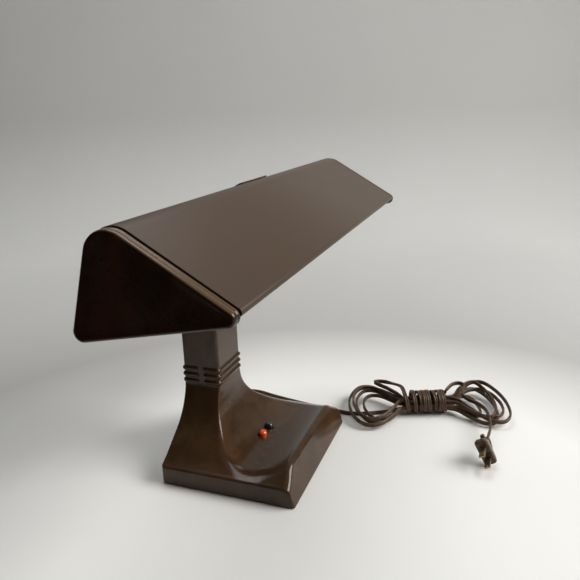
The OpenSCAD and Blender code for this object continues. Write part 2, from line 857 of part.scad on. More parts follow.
module tube_glass() {
    half = tube_len / 2 - 6.7;
    color([0.95, 0.95, 0.93]) difference() {
        rod_x(-half, half, tube_c.x, tube_c.y, glass_r, 96);
        rod_x(-half + 1, half - 1, tube_c.x, tube_c.y, glass_r - 0.9, 96);
    }
}

module tube_end_caps() {
    end = tube_len / 2;
    glass_end = end - 6.7;
    color(steel) both_sides() difference() {
        rod_x(end - 14, end, tube_c.x, tube_c.y, 13, 96);
        rod_x(end - 15, glass_end, tube_c.x, tube_c.y, glass_r + 0.02, 96);
    }
}

module tube_pins() {
    end = tube_len / 2;
    color(brass) both_sides() for (s = [-1, 1])
        rod_x(end, end + pin_len, tube_c.x + s * pin_half_pitch, tube_c.y, pin_r, 32);
}

module tube_cathodes() {
    x = tube_len / 2 - 7.7;
    color(steel) both_sides() {
        rod_x(x - 12, x, tube_c.x, tube_c.y, 2.5, 32);
        for (s = [-1, 1])
            bar([x - 11, tube_c.x + s * 1.5, tube_c.y], [x - 22, tube_c.x + s * 5, tube_c.y], 0.4);
        translate([x - 22, tube_c.x - 5.4, tube_c.y]) rotate([-90, 0, 0])
            cylinder(h = 10.8, r = 0.7, $fn = 24);
    }
}

module lamp_rotors() {
    slot = 2.7;
    color([0.9, 0.89, 0.85]) both_sides() difference() {
        rod_x(rotor_x[0], rotor_x[1], tube_c.x, tube_c.y, rotor_r, 64);
        translate([rotor_x[0] - 1, tube_c.x - 8.2, tube_c.y - slot / 2]) cube([10, 16.4, slot]);
    }
}

// ---------------------------------------------------------------- all pieces
base_shell();
bottom_cover();
felt_pad();
cover_screws();
ballast_core();
ballast_coil();
ballast_strap();
ballast_screws();
switch_body();
switch_plate();
switch_screws();
switch_terminals();
start_spring();
stop_spring();
start_button();
stop_button();
cord_grommet();
power_cord();
plug_body();
plug_blades();
base_wiring();
neck_bushing();
neck_bracket();
neck_bracket_screws();
pivot_bolts();
pivot_washers();
pivot_nuts();
neck_wire_sleeve();
shade_wire_sleeve();
shade_grommet();
shade_sheet();
shade_bracket();
bracket_rivets();
reflector();
reflector_screws();
left_end_cap();
right_end_cap();
cap_screws();
left_lampholder();
right_lampholder();
lampholder_contacts();
end_brackets();
end_bracket_screws();
shade_wiring();
tube_glass();
tube_end_caps();
tube_pins();
tube_cathodes();
lamp_rotors();
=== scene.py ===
"""Looks for the fluorescent desk lamp: moulded stand, painted shade, cord and small parts.

Lengths are in millimetres in the row frame until a mesh is made, which is in metres.
"""

import json
import math

import bmesh
import bpy
import numpy as np
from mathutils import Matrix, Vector


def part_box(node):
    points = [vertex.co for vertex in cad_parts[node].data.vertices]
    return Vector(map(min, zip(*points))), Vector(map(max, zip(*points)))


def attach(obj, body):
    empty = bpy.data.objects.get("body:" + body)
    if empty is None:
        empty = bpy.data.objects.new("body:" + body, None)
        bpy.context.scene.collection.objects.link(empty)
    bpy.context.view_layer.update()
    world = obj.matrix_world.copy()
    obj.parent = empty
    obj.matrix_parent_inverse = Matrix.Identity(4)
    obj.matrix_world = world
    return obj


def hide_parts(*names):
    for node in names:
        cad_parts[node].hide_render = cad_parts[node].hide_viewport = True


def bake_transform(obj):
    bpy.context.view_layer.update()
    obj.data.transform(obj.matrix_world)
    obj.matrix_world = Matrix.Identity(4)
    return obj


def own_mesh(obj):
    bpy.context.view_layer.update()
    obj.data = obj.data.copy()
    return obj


MM = 0.001

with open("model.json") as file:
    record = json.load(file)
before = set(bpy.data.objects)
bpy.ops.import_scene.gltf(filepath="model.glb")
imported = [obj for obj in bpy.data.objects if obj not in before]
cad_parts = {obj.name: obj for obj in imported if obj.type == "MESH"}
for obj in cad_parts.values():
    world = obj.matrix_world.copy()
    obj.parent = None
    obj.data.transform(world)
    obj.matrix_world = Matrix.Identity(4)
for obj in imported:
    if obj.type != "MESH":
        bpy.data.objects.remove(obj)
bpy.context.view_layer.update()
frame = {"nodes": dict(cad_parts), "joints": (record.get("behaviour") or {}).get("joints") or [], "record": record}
joints = {j["name"]: j for j in frame["joints"]}


def box_mm(node):
    """Lowest and highest corner of a CAD node in millimetres."""
    low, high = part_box(node)
    return np.array(low) / MM, np.array(high) / MM


# ---- mesh helpers


def scene_object(name, data):
    """A new object that holds the data, linked to the scene."""
    obj = bpy.data.objects.new(name, data)
    bpy.context.scene.collection.objects.link(obj)
    return obj


def mesh_object(name, points_mm, faces, smooth_angle=35.0):
    """A mesh object from points in millimetres, smooth except at edges sharper than the angle."""
    mesh = bpy.data.meshes.new(name)
    mesh.from_pydata([tuple(p) for p in np.asarray(points_mm, float) * MM], [], faces)
    obj = scene_object(name, mesh)
    finish_mesh(mesh, smooth_angle)
    return obj


def tube_faces(rings, sides):
    """Quads that join each closed ring of points to the next one."""
    return [(i * sides + j, i * sides + (j + 1) % sides,
             (i + 1) * sides + (j + 1) % sides, (i + 1) * sides + j)
            for i in range(rings - 1) for j in range(sides)]


def finish_mesh(mesh, smooth_angle):
    """Joins doubled points, turns faces outwards and sets smooth shading."""
    bm = bmesh.new()
    bm.from_mesh(mesh)
    bmesh.ops.remove_doubles(bm, verts=bm.verts, dist=1e-6)
    bmesh.ops.recalc_face_normals(bm, faces=bm.faces)
    bm.to_mesh(mesh)
    bm.free()
    mesh.shade_smooth()
    mesh.set_sharp_from_angle(angle=math.radians(smooth_angle))


def bevel_mesh(mesh, width_mm, segments=2, above_angle=28.0):
    """Rounds every edge that is sharper than the angle."""
    bm = bmesh.new()
    bm.from_mesh(mesh)
    bmesh.ops.remove_doubles(bm, verts=bm.verts, dist=1e-6)
    bmesh.ops.dissolve_limit(bm, angle_limit=math.radians(0.5), verts=bm.verts, edges=bm.edges)
    limit = math.radians(above_angle)
    sharp = [e for e in bm.edges if len(e.link_faces) == 2 and e.calc_face_angle(0) > limit]
    bmesh.ops.bevel(bm, geom=sharp, offset=width_mm * MM, segments=segments, profile=0.5,
                    affect="EDGES", clamp_overlap=True)
    bm.to_mesh(mesh)
    bm.free()


def surface_net(name, field, low, high, step, rounds=4):
    """Closed quad mesh of the surface where a field is zero. The field is negative inside."""
    axes = [np.arange(a - 2 * step, b + 3 * step, step) for a, b in zip(low, high)]
    grid = np.meshgrid(*axes, indexing="ij", sparse=True)
    inside = field(*grid) < 0
    corners = [inside[i:i - 1 or None, j:j - 1 or None, k:k - 1 or None]
               for i in (0, 1) for j in (0, 1) for k in (0, 1)]
    count = sum(c.astype(np.int8) for c in corners)
    active = (count > 0) & (count < 8)
    index = np.full(active.shape, -1, np.int64)
    cells = np.argwhere(active)
    index[active] = np.arange(len(cells))
    origin = np.array([a[0] for a in axes])
    points = origin + (cells + 0.5) * step
    quads = []
    for axis in range(3):
        u, v = (axis + 1) % 3, (axis + 2) % 3
        lower, upper = [slice(None)] * 3, [slice(None)] * 3
        lower[axis], upper[axis] = slice(None, -1), slice(1, None)
        a, b = inside[tuple(lower)], inside[tuple(upper)]
        for rising in (True, False):
            cut = np.argwhere((~a & b) if rising else (a & ~b))
            cut = cut[(cut[:, u] > 0) & (cut[:, v] > 0)]
            ring = []
            for du, dv in ((1, 1), (0, 1), (0, 0), (1, 0)):
                cell = cut.copy()
                cell[:, u] -= du
                cell[:, v] -= dv
                ring.append(index[tuple(cell.T)])
            quads.append(np.stack(ring[::-1] if rising else ring, axis=1))
    quads = np.concatenate(quads)
    for _ in range(rounds):
        points = project(relax(points, quads), field, step)
    return quad_object(name, project(points, field, step), quads)


def relax(points, quads):
    """Moves each point to the mean of its neighbours."""
    total = np.zeros_like(points)
    weight = np.zeros(len(points))
    for i in range(4):
        a, b = quads[:, i], quads[:, (i + 1) % 4]
        for p, q in ((a, b), (b, a)):
            for c in range(3):
                total[:, c] += np.bincount(p, points[q, c], len(points))
            weight += np.bincount(p, minlength=len(points))
    return total / np.maximum(weight, 1)[:, None]


def project(points, field, step):
    """Moves each point along the field's slope onto the surface."""
    h = step * 0.05
    x, y, z = points.T
    value = field(x, y, z)
    slope = np.stack([field(x + h, y, z) - field(x - h, y, z),
                      field(x, y + h, z) - field(x, y - h, z),
                      field(x, y, z + h) - field(x, y, z - h)], axis=1) / (2 * h)
    size = np.maximum((slope ** 2).sum(1), 0.25)
    move = -(value / size)[:, None] * slope
    length = np.linalg.norm(move, axis=1)
    cap = np.minimum(1.0, 0.7 * step / np.maximum(length, 1e-9))
    return points + move * cap[:, None]


def quad_object(name, points, quads, smooth_angle=40.0):
    """A mesh object from arrays of points in millimetres and of quads."""
    mesh = bpy.data.meshes.new(name)
    mesh.from_pydata((points * MM).tolist(), [], quads.tolist())
    mesh.validate()
    mesh.shade_smooth()
    mesh.set_sharp_from_angle(angle=math.radians(smooth_angle))
    return scene_object(name, mesh)


def round_max(a, b, r):
    """Intersection of two fields with the shared edge rounded to radius r."""
    corner = np.hypot(np.maximum(a + r, 0), np.maximum(b + r, 0)) - r
    return np.where((a > -r) & (b > -r), corner, np.maximum(a, b))


def round_min(a, b, r):
    """Union of two fields with the shared corner filled to radius r."""
    return -round_max(-a, -b, r)


def rect_field(u, v, half_u, half_v, r):
    """Distance to a rounded rectangle."""
    du, dv = np.abs(u) - half_u + r, np.abs(v) - half_v + r
    outside = np.hypot(np.maximum(du, 0), np.maximum(dv, 0))
    return outside + np.minimum(np.maximum(du, dv), 0) - r


def lathe(name, profile, sides, axis_at):
    """Turns a (radius, height) profile about an upright axis. Its first and last radius are 0."""
    x, y = axis_at[:2]
    angles = np.linspace(0, 2 * math.pi, sides, endpoint=False)
    points, faces = [(x, y, profile[0][1])], []
    for r, h in profile[1:-1]:
        points += [(x + r * math.cos(a), y + r * math.sin(a), h) for a in angles]
    points.append((x, y, profile[-1][1]))
    rings = len(profile) - 2
    for s in range(sides):
        t = (s + 1) % sides
        faces.append((0, 1 + s, 1 + t))
        for k in range(rings - 1):
            a, b = 1 + k * sides, 1 + (k + 1) * sides
            faces.append((a + s, b + s, b + t, a + t))
        last = 1 + (rings - 1) * sides
        faces.append((last + s, len(points) - 1, last + t))
    return mesh_object(name, points, faces, 50.0)


def smooth_path(points, spacing):
    """Catmull-Rom curve through the points, with samples about the given distance apart."""
    p = np.asarray(points, float)
    p = np.vstack([2 * p[0] - p[1], p, 2 * p[-1] - p[-2]])
    out = []
    for i in range(1, len(p) - 2):
        steps = max(2, int(np.linalg.norm(p[i + 1] - p[i]) / spacing))
        t = np.linspace(0, 1, steps, endpoint=False)[:, None]
        a, b, c, d = p[i - 1], p[i], p[i + 1], p[i + 2]
        out.append(0.5 * ((2 * b) + (c - a) * t + (2 * a - 5 * b + 4 * c - d) * t ** 2
                          + (3 * b - a - 3 * c + d) * t ** 3))
    return np.vstack(out + [p[-2:-1]])


def smooth_values(values, passes):
    """Softens a list of vectors along its length."""
    v = np.asarray(values, float)
    for _ in range(passes):
        v[1:-1] = (v[:-2] + 2 * v[1:-1] + v[2:]) / 4
    return v


def sweep(name, path, wide, section, smooth_angle=60.0):
    """Sweeps a closed section along a path. wide gives the section's first axis."""
    path = np.asarray(path, float)
    tangent = np.gradient(path, axis=0)
    tangent /= np.linalg.norm(tangent, axis=1)[:, None]
    wide = wide - (wide * tangent).sum(1)[:, None] * tangent
    wide /= np.maximum(np.linalg.norm(wide, axis=1), 1e-9)[:, None]
    thin = np.cross(tangent, wide)
    section = np.asarray(section, float)
    n, m = len(path), len(section)
    rings = (path[:, None, :] + section[None, :, 0, None] * wide[:, None, :]
             + section[None, :, 1, None] * thin[:, None, :])
    ends = [tuple(range(m - 1, -1, -1)), tuple((n - 1) * m + j for j in range(m))]
    return mesh_object(name, rings.reshape(-1, 3), tube_faces(n, m) + ends, smooth_angle)


def circle_section(r, sides):
    """Points of a round wire's outline."""
    a = np.linspace(0, 2 * math.pi, sides, endpoint=False)
    return np.stack([r * np.cos(a), r * np.sin(a)], axis=1)


def cord_section(lobe_r, spread, web, sides=20):
    """Outline of a flat two-wire cord: two round lobes joined by a narrower web."""
    a = np.linspace(0, 2 * math.pi, sides, endpoint=False)
    x = (spread + lobe_r) * np.cos(a)
    lobes = np.sqrt(np.maximum(lobe_r ** 2 - (np.abs(x) - spread) ** 2, 0))
    height = np.maximum(lobes, np.where(np.abs(x) < spread, web, 0))
    return np.stack([x, np.sign(np.sin(a)) * height * (np.abs(np.sin(a)) > 1e-9)], axis=1)


# ---- materials


class Nodes:
    """A small helper that builds the nodes of a material or a world."""

    def __init__(self, owner):
        owner.use_nodes = True
        self.tree = owner.node_tree

    def feed(self, socket, value):
        """Links another node's output to the socket, or sets its value."""
        if isinstance(value, bpy.types.NodeSocket):
            self.tree.links.new(value, socket)
        else:
            short = socket.type == "RGBA" and len(value) == 3
            socket.default_value = (*value, 1) if short else value

    def node(self, kind, inputs=(), **values):
        n = self.tree.nodes.new("ShaderNode" + kind)
        for key, value in values.items():
            setattr(n, key, value)
        for key, value in dict(inputs).items():
            self.feed(n.inputs[key], value)
        return n

    def range(self, source, low, high, from_low=0.3, from_high=0.7):
        return self.node("MapRange", {"Value": source, "From Min": from_low, "To Min": low,
                                      "From Max": from_high, "To Max": high}).outputs["Result"]


class Look(Nodes):
    """One node material. Its patterns follow the object's own coordinates."""

    def __init__(self, name, **values):
        self.material = bpy.data.materials.new(name)
        super().__init__(self.material)
        self.shader = self.tree.nodes["Principled BSDF"]
        for key, value in values.items():
            self.feed(self.shader.inputs[key.replace("_", " ")], value)
        self.place = self.node("TexCoord").outputs["Object"]

    def noise(self, scale, detail=3.0, rough=0.5, stretch=(1, 1, 1), distort=0.0):
        mapping = self.node("Mapping", {"Scale": stretch, "Vector": self.place})
        return self.node("TexNoise", {"Scale": scale, "Detail": detail, "Roughness": rough,
                                      "Distortion": distort,
                                      "Vector": mapping.outputs["Vector"]}).outputs["Fac"]

    def wave(self, direction, scale, distortion, place=None):
        return self.node("TexWave", {"Scale": scale, "Distortion": distortion,
                                     "Vector": place or self.place},
                         bands_direction=direction).outputs["Fac"]

    def ramp(self, source, stops):
        r = self.node("ValToRGB", {"Fac": source})
        while len(r.color_ramp.elements) < len(stops):
            r.color_ramp.elements.new(0.5)
        for element, (place, color) in zip(r.color_ramp.elements, stops):
            element.position = place
            element.color = (*color, 1)
        return r.outputs["Color"]

    def mix(self, fac, a, b):
        inputs = {"Factor": fac, "A": a, "B": b}
        return self.node("Mix", inputs, data_type="RGBA").outputs["Result"]

    def math(self, operation, a, b):
        return self.node("Math", {0: a, 1: b}, operation=operation).outputs["Value"]

    def along(self, axis, source):
        """One coordinate of a vector."""
        return self.node("SeparateXYZ", {"Vector": source}).outputs[axis]

    def color(self, source):
        self.feed(self.shader.inputs["Base Color"], source)

    def roughness(self, source):
        self.feed(self.shader.inputs["Roughness"], source)

    def bump(self, *layers):
        """Each layer is (height source, depth in metres, strength)."""
        normal = {}
        for source, depth, strength in layers:
            b = self.node("Bump", {"Height": source, "Distance": depth, "Strength": strength,
                                   **normal})
            normal = {"Normal": b.outputs["Normal"]}
        self.feed(self.shader.inputs["Normal"], b.outputs["Normal"])

    def edges(self, low, high):
        """High where the surface turns sharply outwards."""
        return self.range(self.node("NewGeometry").outputs["Pointiness"], 0.0, 1.0, low, high)


def moulded_brown(name, dark, light, red, rough_low, rough_high, painted_top_light=None):
    """Glossy phenolic moulding with cloudy mottling, handling haze and fine specks.

    The upper faces of the left end cap can be tinted a lighter brown, a painted highlight for the light that falls
    on their tops.
    """
    k = Look(name, Specular_IOR_Level=0.36)
    cloud = k.noise(26.0, 5.0, 0.6, distort=0.6)
    flow = k.noise(11.0, 3.0, 0.5, stretch=(1.0, 1.0, 0.55), distort=1.2)
    speck = k.noise(420.0, 2.0, 0.5)
    base = k.ramp(cloud, [(0.34, dark), (0.66, light)])
    base = k.mix(k.range(flow, 0.0, 0.75, 0.5, 0.68), base, red)
    base = k.mix(k.range(speck, 0.0, 0.5, 0.62, 0.74), base, tuple(0.45 * c for c in dark))
    handled = k.range(k.noise(60.0), 0.0, 1.0, 0.4, 0.65)
    worn = k.math("MULTIPLY", k.edges(0.515, 0.58), handled)
    base = k.mix(k.math("MULTIPLY", worn, 0.55), base, tuple(min(1.0, 2.2 * c) for c in light))
    # painted light: the left cap's upward faces are mixed towards a lighter brown where light falls on them
    if painted_top_light:
        left = k.range(k.along("X", k.place), 1.0, 0.0, -0.2, -0.1)
        up = k.range(k.along("Z", k.node("TexCoord").outputs["Normal"]), 0.0, 1.0, 0.35, 0.7)
        base = k.mix(k.math("MULTIPLY", left, up), base, painted_top_light)
    k.color(base)
    haze = k.noise(16.0, 4.0, 0.6)
    scratch = k.noise(70.0, 4.0, 0.6, stretch=(1.0, 9.0, 1.0))
    k.roughness(k.math("ADD", k.range(haze, rough_low, rough_high, 0.35, 0.7),
                       k.range(scratch, 0.0, 0.06, 0.55, 0.7)))
    k.bump((k.noise(95.0, 2.0, 0.4), 0.00012, 0.22), (speck, 0.00003, 0.25))
    return k.material


def enamel(name, base_color, edge_color, rough):
    """Sprayed enamel: fine orange peel, faint unevenness, dust and wear on the edges."""
    k = Look(name, Specular_IOR_Level=0.22)
    blotch = k.noise(5.0, 2.0, 0.4)
    fine = k.noise(900.0, 2.0, 0.6)
    coat = k.mix(k.range(blotch, 0.0, 1.0, 0.3, 0.7), tuple(0.97 * c for c in base_color),
                 tuple(1.03 * c for c in base_color))
    coat = k.mix(k.range(fine, 0.0, 0.03, 0.6, 0.8), coat, tuple(0.6 * c for c in base_color))
    chipped = k.range(k.noise(140.0, 4.0), 0.0, 1.0, 0.48, 0.6)
    worn = k.math("MULTIPLY", k.edges(0.66, 0.8), chipped)
    k.color(k.mix(k.math("MULTIPLY", worn, 0.8), coat, edge_color))
    smear = k.noise(9.0, 3.0, 0.5, stretch=(0.5, 1.0, 1.0))
    k.roughness(k.range(smear, rough - 0.01, rough + 0.03))
    k.bump((k.noise(650.0, 2.0, 0.5), 0.00001, 0.06), (k.noise(7.0, 1.0, 0.4), 0.0006, 0.08))
    return k.material


def plated_steel(name, tint=(0.56, 0.56, 0.55), rough=0.32):
    """Zinc-plated steel with fine rolling lines and dull patches."""
    k = Look(name, Metallic=1.0)
    lines = k.noise(240.0, 3.0, 0.6, stretch=(1.0, 12.0, 1.0))
    patch = k.noise(45.0, 4.0, 0.6)
    k.color(k.mix(k.range(patch, 0.0, 1.0), tuple(0.62 * c for c in tint), tint))
    k.roughness(k.math("ADD", k.range(patch, rough + 0.12, rough - 0.06),
                       k.range(lines, 0.0, 0.08)))
    k.bump((lines, 0.00002, 0.35))
    return k.material


def dull_brass(name):
    """Brass with brown tarnish that gathers away from rubbed edges."""
    k = Look(name, Metallic=1.0)
    patch = k.noise(220.0, 4.0, 0.65)
    tarnish = k.mix(k.range(patch, 0.0, 1.0, 0.35, 0.65),
                    (0.075, 0.048, 0.024), (0.19, 0.13, 0.07))
    k.color(k.mix(k.edges(0.52, 0.6), tarnish, (0.34, 0.26, 0.15)))
    k.roughness(k.range(patch, 0.5, 0.28))
    k.bump((k.noise(900.0, 2.0), 0.00002, 0.3))
    return k.material


def soft_rubber(name, dark, light, rough=0.52):
    """Rubber or soft vinyl with a dry bloom and light scuffs."""
    k = Look(name, Specular_IOR_Level=0.3)
    bloom = k.noise(130.0, 4.0, 0.6)
    k.color(k.mix(k.range(bloom, 0.0, 1.0, 0.35, 0.7), dark, light))
    k.roughness(k.range(k.noise(60.0, 3.0), rough - 0.1, rough + 0.12))
    k.bump((k.noise(1500.0, 2.0), 0.00003, 0.35))
    return k.material


def moulding(name, base_color, rough, speck_color):
    """Plain moulded plastic or porcelain-like resin with slight flow marks."""
    k = Look(name, Specular_IOR_Level=0.5)
    flow = k.noise(55.0, 3.0, 0.5, distort=0.8)
    color = k.mix(k.range(flow, 0.0, 1.0), tuple(0.88 * c for c in base_color), base_color)
    k.color(k.mix(k.range(k.noise(700.0), 0.0, 0.5, 0.62, 0.75), color, speck_color))
    k.roughness(k.range(k.noise(90.0), rough - 0.05, rough + 0.1))
    k.bump((k.noise(300.0), 0.00003, 0.25))
    return k.material


def button_gloss(name, color, deep_and_side_shade):
    """Polished coloured plastic with painted shade: darker towards its sides, where the surface turns away from
    the view.
    """
    k = Look(name, Specular_IOR_Level=0.55, Coat_Weight=0.4, Coat_Roughness=0.06)
    facing = k.node("LayerWeight", {"Blend": 0.35})
    worn = k.range(k.noise(320.0, 3.0), 0.0, 0.35, 0.5, 0.75)
    # painted shade: the colour goes to the deep tone at glancing angles, and the worn noise also darkens it at
    # random
    k.color(k.mix(worn, k.mix(facing.outputs["Facing"], color, deep_and_side_shade), deep_and_side_shade))
    k.roughness(k.range(k.noise(150.0), 0.14, 0.3))
    k.bump((k.noise(500.0), 0.00003, 0.2))
    return k.material


def felt_cloth(name):
    """Dense dark felt with short tangled fibres."""
    k = Look(name, Specular_IOR_Level=0.1, Sheen_Weight=0.5, Sheen_Roughness=0.6)
    fibre = k.noise(1800.0, 5.0, 0.75, stretch=(1.0, 2.6, 1.0), distort=2.0)
    k.color(k.ramp(fibre, [(0.35, (0.035, 0.028, 0.02)), (0.65, (0.11, 0.09, 0.065))]))
    k.roughness(k.range(fibre, 0.85, 1.0))
    k.bump((fibre, 0.0003, 0.9))
    return k.material


def woven_sleeve(name):
    """Braided fibreglass sleeve over wires: a fine diagonal weave."""
    k = Look(name, Specular_IOR_Level=0.25, Sheen_Weight=0.25)
    waves = []
    for turn in (0.9, -0.9):
        mapping = k.node("Mapping", {"Rotation": (turn, 0.35 * turn, 0.0), "Vector": k.place})
        waves.append(k.wave("Y", 420.0, 0.6, mapping.outputs["Vector"]))
    weave = k.math("MAXIMUM", waves[0], waves[1])
    k.color(k.ramp(weave, [(0.3, (0.012, 0.01, 0.008)), (0.9, (0.075, 0.062, 0.048))]))
    k.roughness(k.range(weave, 0.7, 0.9, 0.0, 1.0))
    k.bump((weave, 0.00025, 0.7))
    return k.material


def coated_glass(name):
    """Phosphor-coated tube: white powder under glass, grey where the cathodes have burned it."""
    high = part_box("tube_glass")[1]
    k = Look(name, Specular_IOR_Level=0.5, Roughness=0.32, Coat_Weight=1.0, Coat_Roughness=0.03)
    from_middle = k.math("ABSOLUTE", k.along("X", k.place), 0.0)
    burn = k.range(from_middle, 0.0, 0.85, high.x - 0.022, high.x + 0.006)
    powder = k.mix(k.range(k.noise(300.0, 3.0), 0.0, 1.0), (0.80, 0.82, 0.79), (0.88, 0.89, 0.86))
    k.color(k.mix(burn, powder, (0.12, 0.11, 0.10)))
    k.bump((k.noise(240.0, 2.0), 0.00002, 0.2))
    return k.material


def laminations(name):
    """Stacked iron sheets: fine dark lines across the stack."""
    k = Look(name, Metallic=0.9)
    sheets = k.wave("Y", 320.0, 0.4)
    rust = k.range(k.noise(120.0, 4.0), 0.0, 0.7, 0.52, 0.7)
    iron = k.ramp(sheets, [(0.1, (0.05, 0.05, 0.05)), (0.5, (0.2, 0.2, 0.21))])
    k.color(k.mix(rust, iron, (0.14, 0.06, 0.03)))
    k.roughness(k.range(k.noise(80.0), 0.4, 0.62))
    k.bump((sheets, 0.0001, 0.6))
    return k.material


def wound_paper(name):
    """Varnished paper wrap on a winding, with the turns showing through."""
    k = Look(name, Specular_IOR_Level=0.4)
    winding = k.wave("Z", 160.0, 1.2)
    blot = k.noise(90.0, 4.0, 0.6)
    k.color(k.mix(k.range(blot, 0.0, 1.0), (0.30, 0.15, 0.05), (0.52, 0.31, 0.13)))
    k.roughness(k.range(blot, 0.35, 0.6))
    k.bump((winding, 0.0002, 0.4))
    return k.material


LOOKS = {name: make(name, *values) for name, make, *values in (
    ("moulded_brown", moulded_brown, (0.034, 0.016, 0.006), (0.060, 0.032, 0.015),
     (0.072, 0.031, 0.012), 0.12, 0.22),
    # cap_brown's last colour is a painted highlight for the left cap's upper faces
    ("cap_brown", moulded_brown, (0.014, 0.006, 0.003), (0.034, 0.016, 0.008),
     (0.060, 0.014, 0.004), 0.12, 0.24, (0.085, 0.049, 0.024)),
    ("brown_paint", enamel, (0.066, 0.042, 0.027), (0.20, 0.17, 0.14), 0.37),
    ("white_paint", enamel, (0.76, 0.75, 0.70), (0.45, 0.42, 0.38), 0.34),
    ("steel", plated_steel),
    ("core_steel", laminations),
    ("coil_wrap", wound_paper),
    ("felt", felt_cloth),
    ("black_moulding", moulding, (0.022, 0.020, 0.018), 0.38, (0.06, 0.05, 0.04)),
    ("brass", dull_brass),
    ("red_button", button_gloss, (0.80, 0.10, 0.012), (0.40, 0.028, 0.004)),
    ("black_button", button_gloss, (0.010, 0.010, 0.011), (0.003, 0.003, 0.003)),
    ("rubber", soft_rubber, (0.012, 0.011, 0.010), (0.032, 0.028, 0.025)),
    ("cord", soft_rubber, (0.056, 0.031, 0.016), (0.115, 0.068, 0.038), 0.34),
    ("wire", soft_rubber, (0.016, 0.015, 0.014), (0.04, 0.038, 0.034), 0.45),
    ("sleeve", woven_sleeve),
    ("fibre", soft_rubber, (0.07, 0.032, 0.018), (0.13, 0.07, 0.04), 0.6),
    ("white_moulding", moulding, (0.74, 0.73, 0.68), 0.34, (0.5, 0.46, 0.4)),
    ("tube_glass", coated_glass),
    ("tube_caps", plated_steel, (0.66, 0.66, 0.65), 0.28),
)}
SLOT_OF = {s["node"]: s["material_slot"] for s in frame["record"]["subparts"]}
BODY_OF = {node: body for body, nodes in frame["record"]["behaviour"]["bodies"].items()
           for node in nodes}


def dress(obj, node):
    """Gives a piece its node's material and body, and lets it stand for that node."""
    slot = SLOT_OF[node]
    obj.data.materials.clear()
    obj.data.materials.append(LOOKS[slot])
    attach(obj, BODY_OF[node])
    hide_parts(node)
    return obj


# ---- stand moulding

base_low, base_high = box_mm("base_shell")
cover_high = box_mm("bottom_cover")[1]
WALL = 3.5
COVER_GAP = 0.3
COVER_EASE = 1.0  # play of the cover in the rear of the opening
half_w = (base_high[0] - base_low[0]) / 2
half_d = cover_high[1] + COVER_EASE + COVER_GAP + WALL
neck_top = base_high[2]
rim_z = base_low[2]
pivot = np.array(joints["shade_tilt"]["pos_m"]) / MM
BUTTON_AXES = [sum(box_mm(node)) / 2 for node in ("start_button", "stop_button")]

PLINTH_H = 19.3
LEDGE = np.array([80.5, 22.7])  # half-width and height where the flare meets the band
FLARE_R = 65.0
FLARE_Z = 96.0
FLARE_TOP_HALF = 25.3  # half-width just under the ribs
FLARE_ANGLE = math.radians(36.8)
SCOOP_R = 52.0
SCOOP_C = (-20.6, 76.4)
SCOOP_FRONT_R = 75.0
SCOOP_FRONT_Z = SCOOP_C[1] - SCOOP_R + SCOOP_FRONT_R
LIP_R = 6.0
LIP_Z = 27.2
LIP_Y = SCOOP_C[0] - math.sqrt((SCOOP_FRONT_R + LIP_R) ** 2 - (SCOOP_FRONT_Z - LIP_Z) ** 2)
FOOT_TO_LIP = (LIP_Y + half_d, LIP_Z - rim_z)
LEAN = math.acos(LIP_R / math.hypot(*FOOT_TO_LIP)) - math.atan2(FOOT_TO_LIP[1], FOOT_TO_LIP[0])
NECK_HALF = 26.0
NECK_FRONT = SCOOP_C[0] + SCOOP_R
NECK_REAR = half_d
NECK_MID = (NECK_FRONT + NECK_REAR) / 2
NECK_HALF_D = (NECK_REAR - NECK_FRONT) / 2
SEAT_Z = 22.6  # spot face under the dish that stops a button
SPOT_FACE_R = 6.6
BUTTON_HOLE_R = 5.05
NECK_R = 2.2
RIB_Z = (89.0, 96.0, 103.0)
RIB_R = 2.3
RIB_GAP = 2.9  # half of the plain strip between the ribs on each side
BAND_EDGE_R = 1.6
BAND_FILLET_R = 1.2
DISH_EDGE = ((30.0, 58.0), (5.0, 1.3))  # heights, and the edge radius of the dish there
PLAN_R = 4.0
BOSS_AT = [(x, y) for x in (-70, 70) for y in (-52, 54)]
BOSS_R, BOSS_HOLE_R = 5.0, 1.9
CORD_HOLE = (45, 11, 5.0, 62)  # middle (X, Z), radius and where it starts in the rear wall
WIRE_HOLE_R, WIRE_HOLE_DEPTH_Y = 4.6, 48


def flare_field(x, z):
    """Front view: band, straight flare, concave arc and upright sides."""
    ax = np.abs(x)
    cx = FLARE_TOP_HALF + FLARE_R
    nx, nz = math.sin(FLARE_ANGLE), math.cos(FLARE_ANGLE)
    end = (cx - FLARE_R * nx, FLARE_Z - FLARE_R * nz)
    line = (ax - end[0]) * nx + (z - end[1]) * nz
    arc = FLARE_R - np.hypot(ax - cx, z - FLARE_Z)
    along = (ax - end[0]) * nz - (z - end[1]) * nx
    flare = np.where(z > FLARE_Z, ax - FLARE_TOP_HALF, np.where(along > 0, line, arc))
    slope = np.array([LEDGE[0] - half_w, LEDGE[1] - PLINTH_H])
    sn = np.array([slope[1], -slope[0]]) / np.hypot(*slope)
    top = (ax - half_w) * sn[0] + (z - PLINTH_H) * sn[1]
    band = round_max(ax - half_w, top, BAND_EDGE_R)
    return round_min(flare, band, BAND_FILLET_R)


def side_field(y, z):
    """Side view: leaning front, rounded lip and dish up to the neck."""
    lean = -(y - LIP_Y) * math.cos(LEAN) + (z - LIP_Z) * math.sin(LEAN) - LIP_R
    ahead = y - SCOOP_C[0]
    rear_dish = SCOOP_R - np.hypot(ahead, np.minimum(z - SCOOP_C[1], 0))
    front_dish = SCOOP_FRONT_R - np.hypot(ahead, np.minimum(z - SCOOP_FRONT_Z, 0))
    return round_max(lean, np.where(ahead > 0, rear_dish, front_dish), LIP_R)


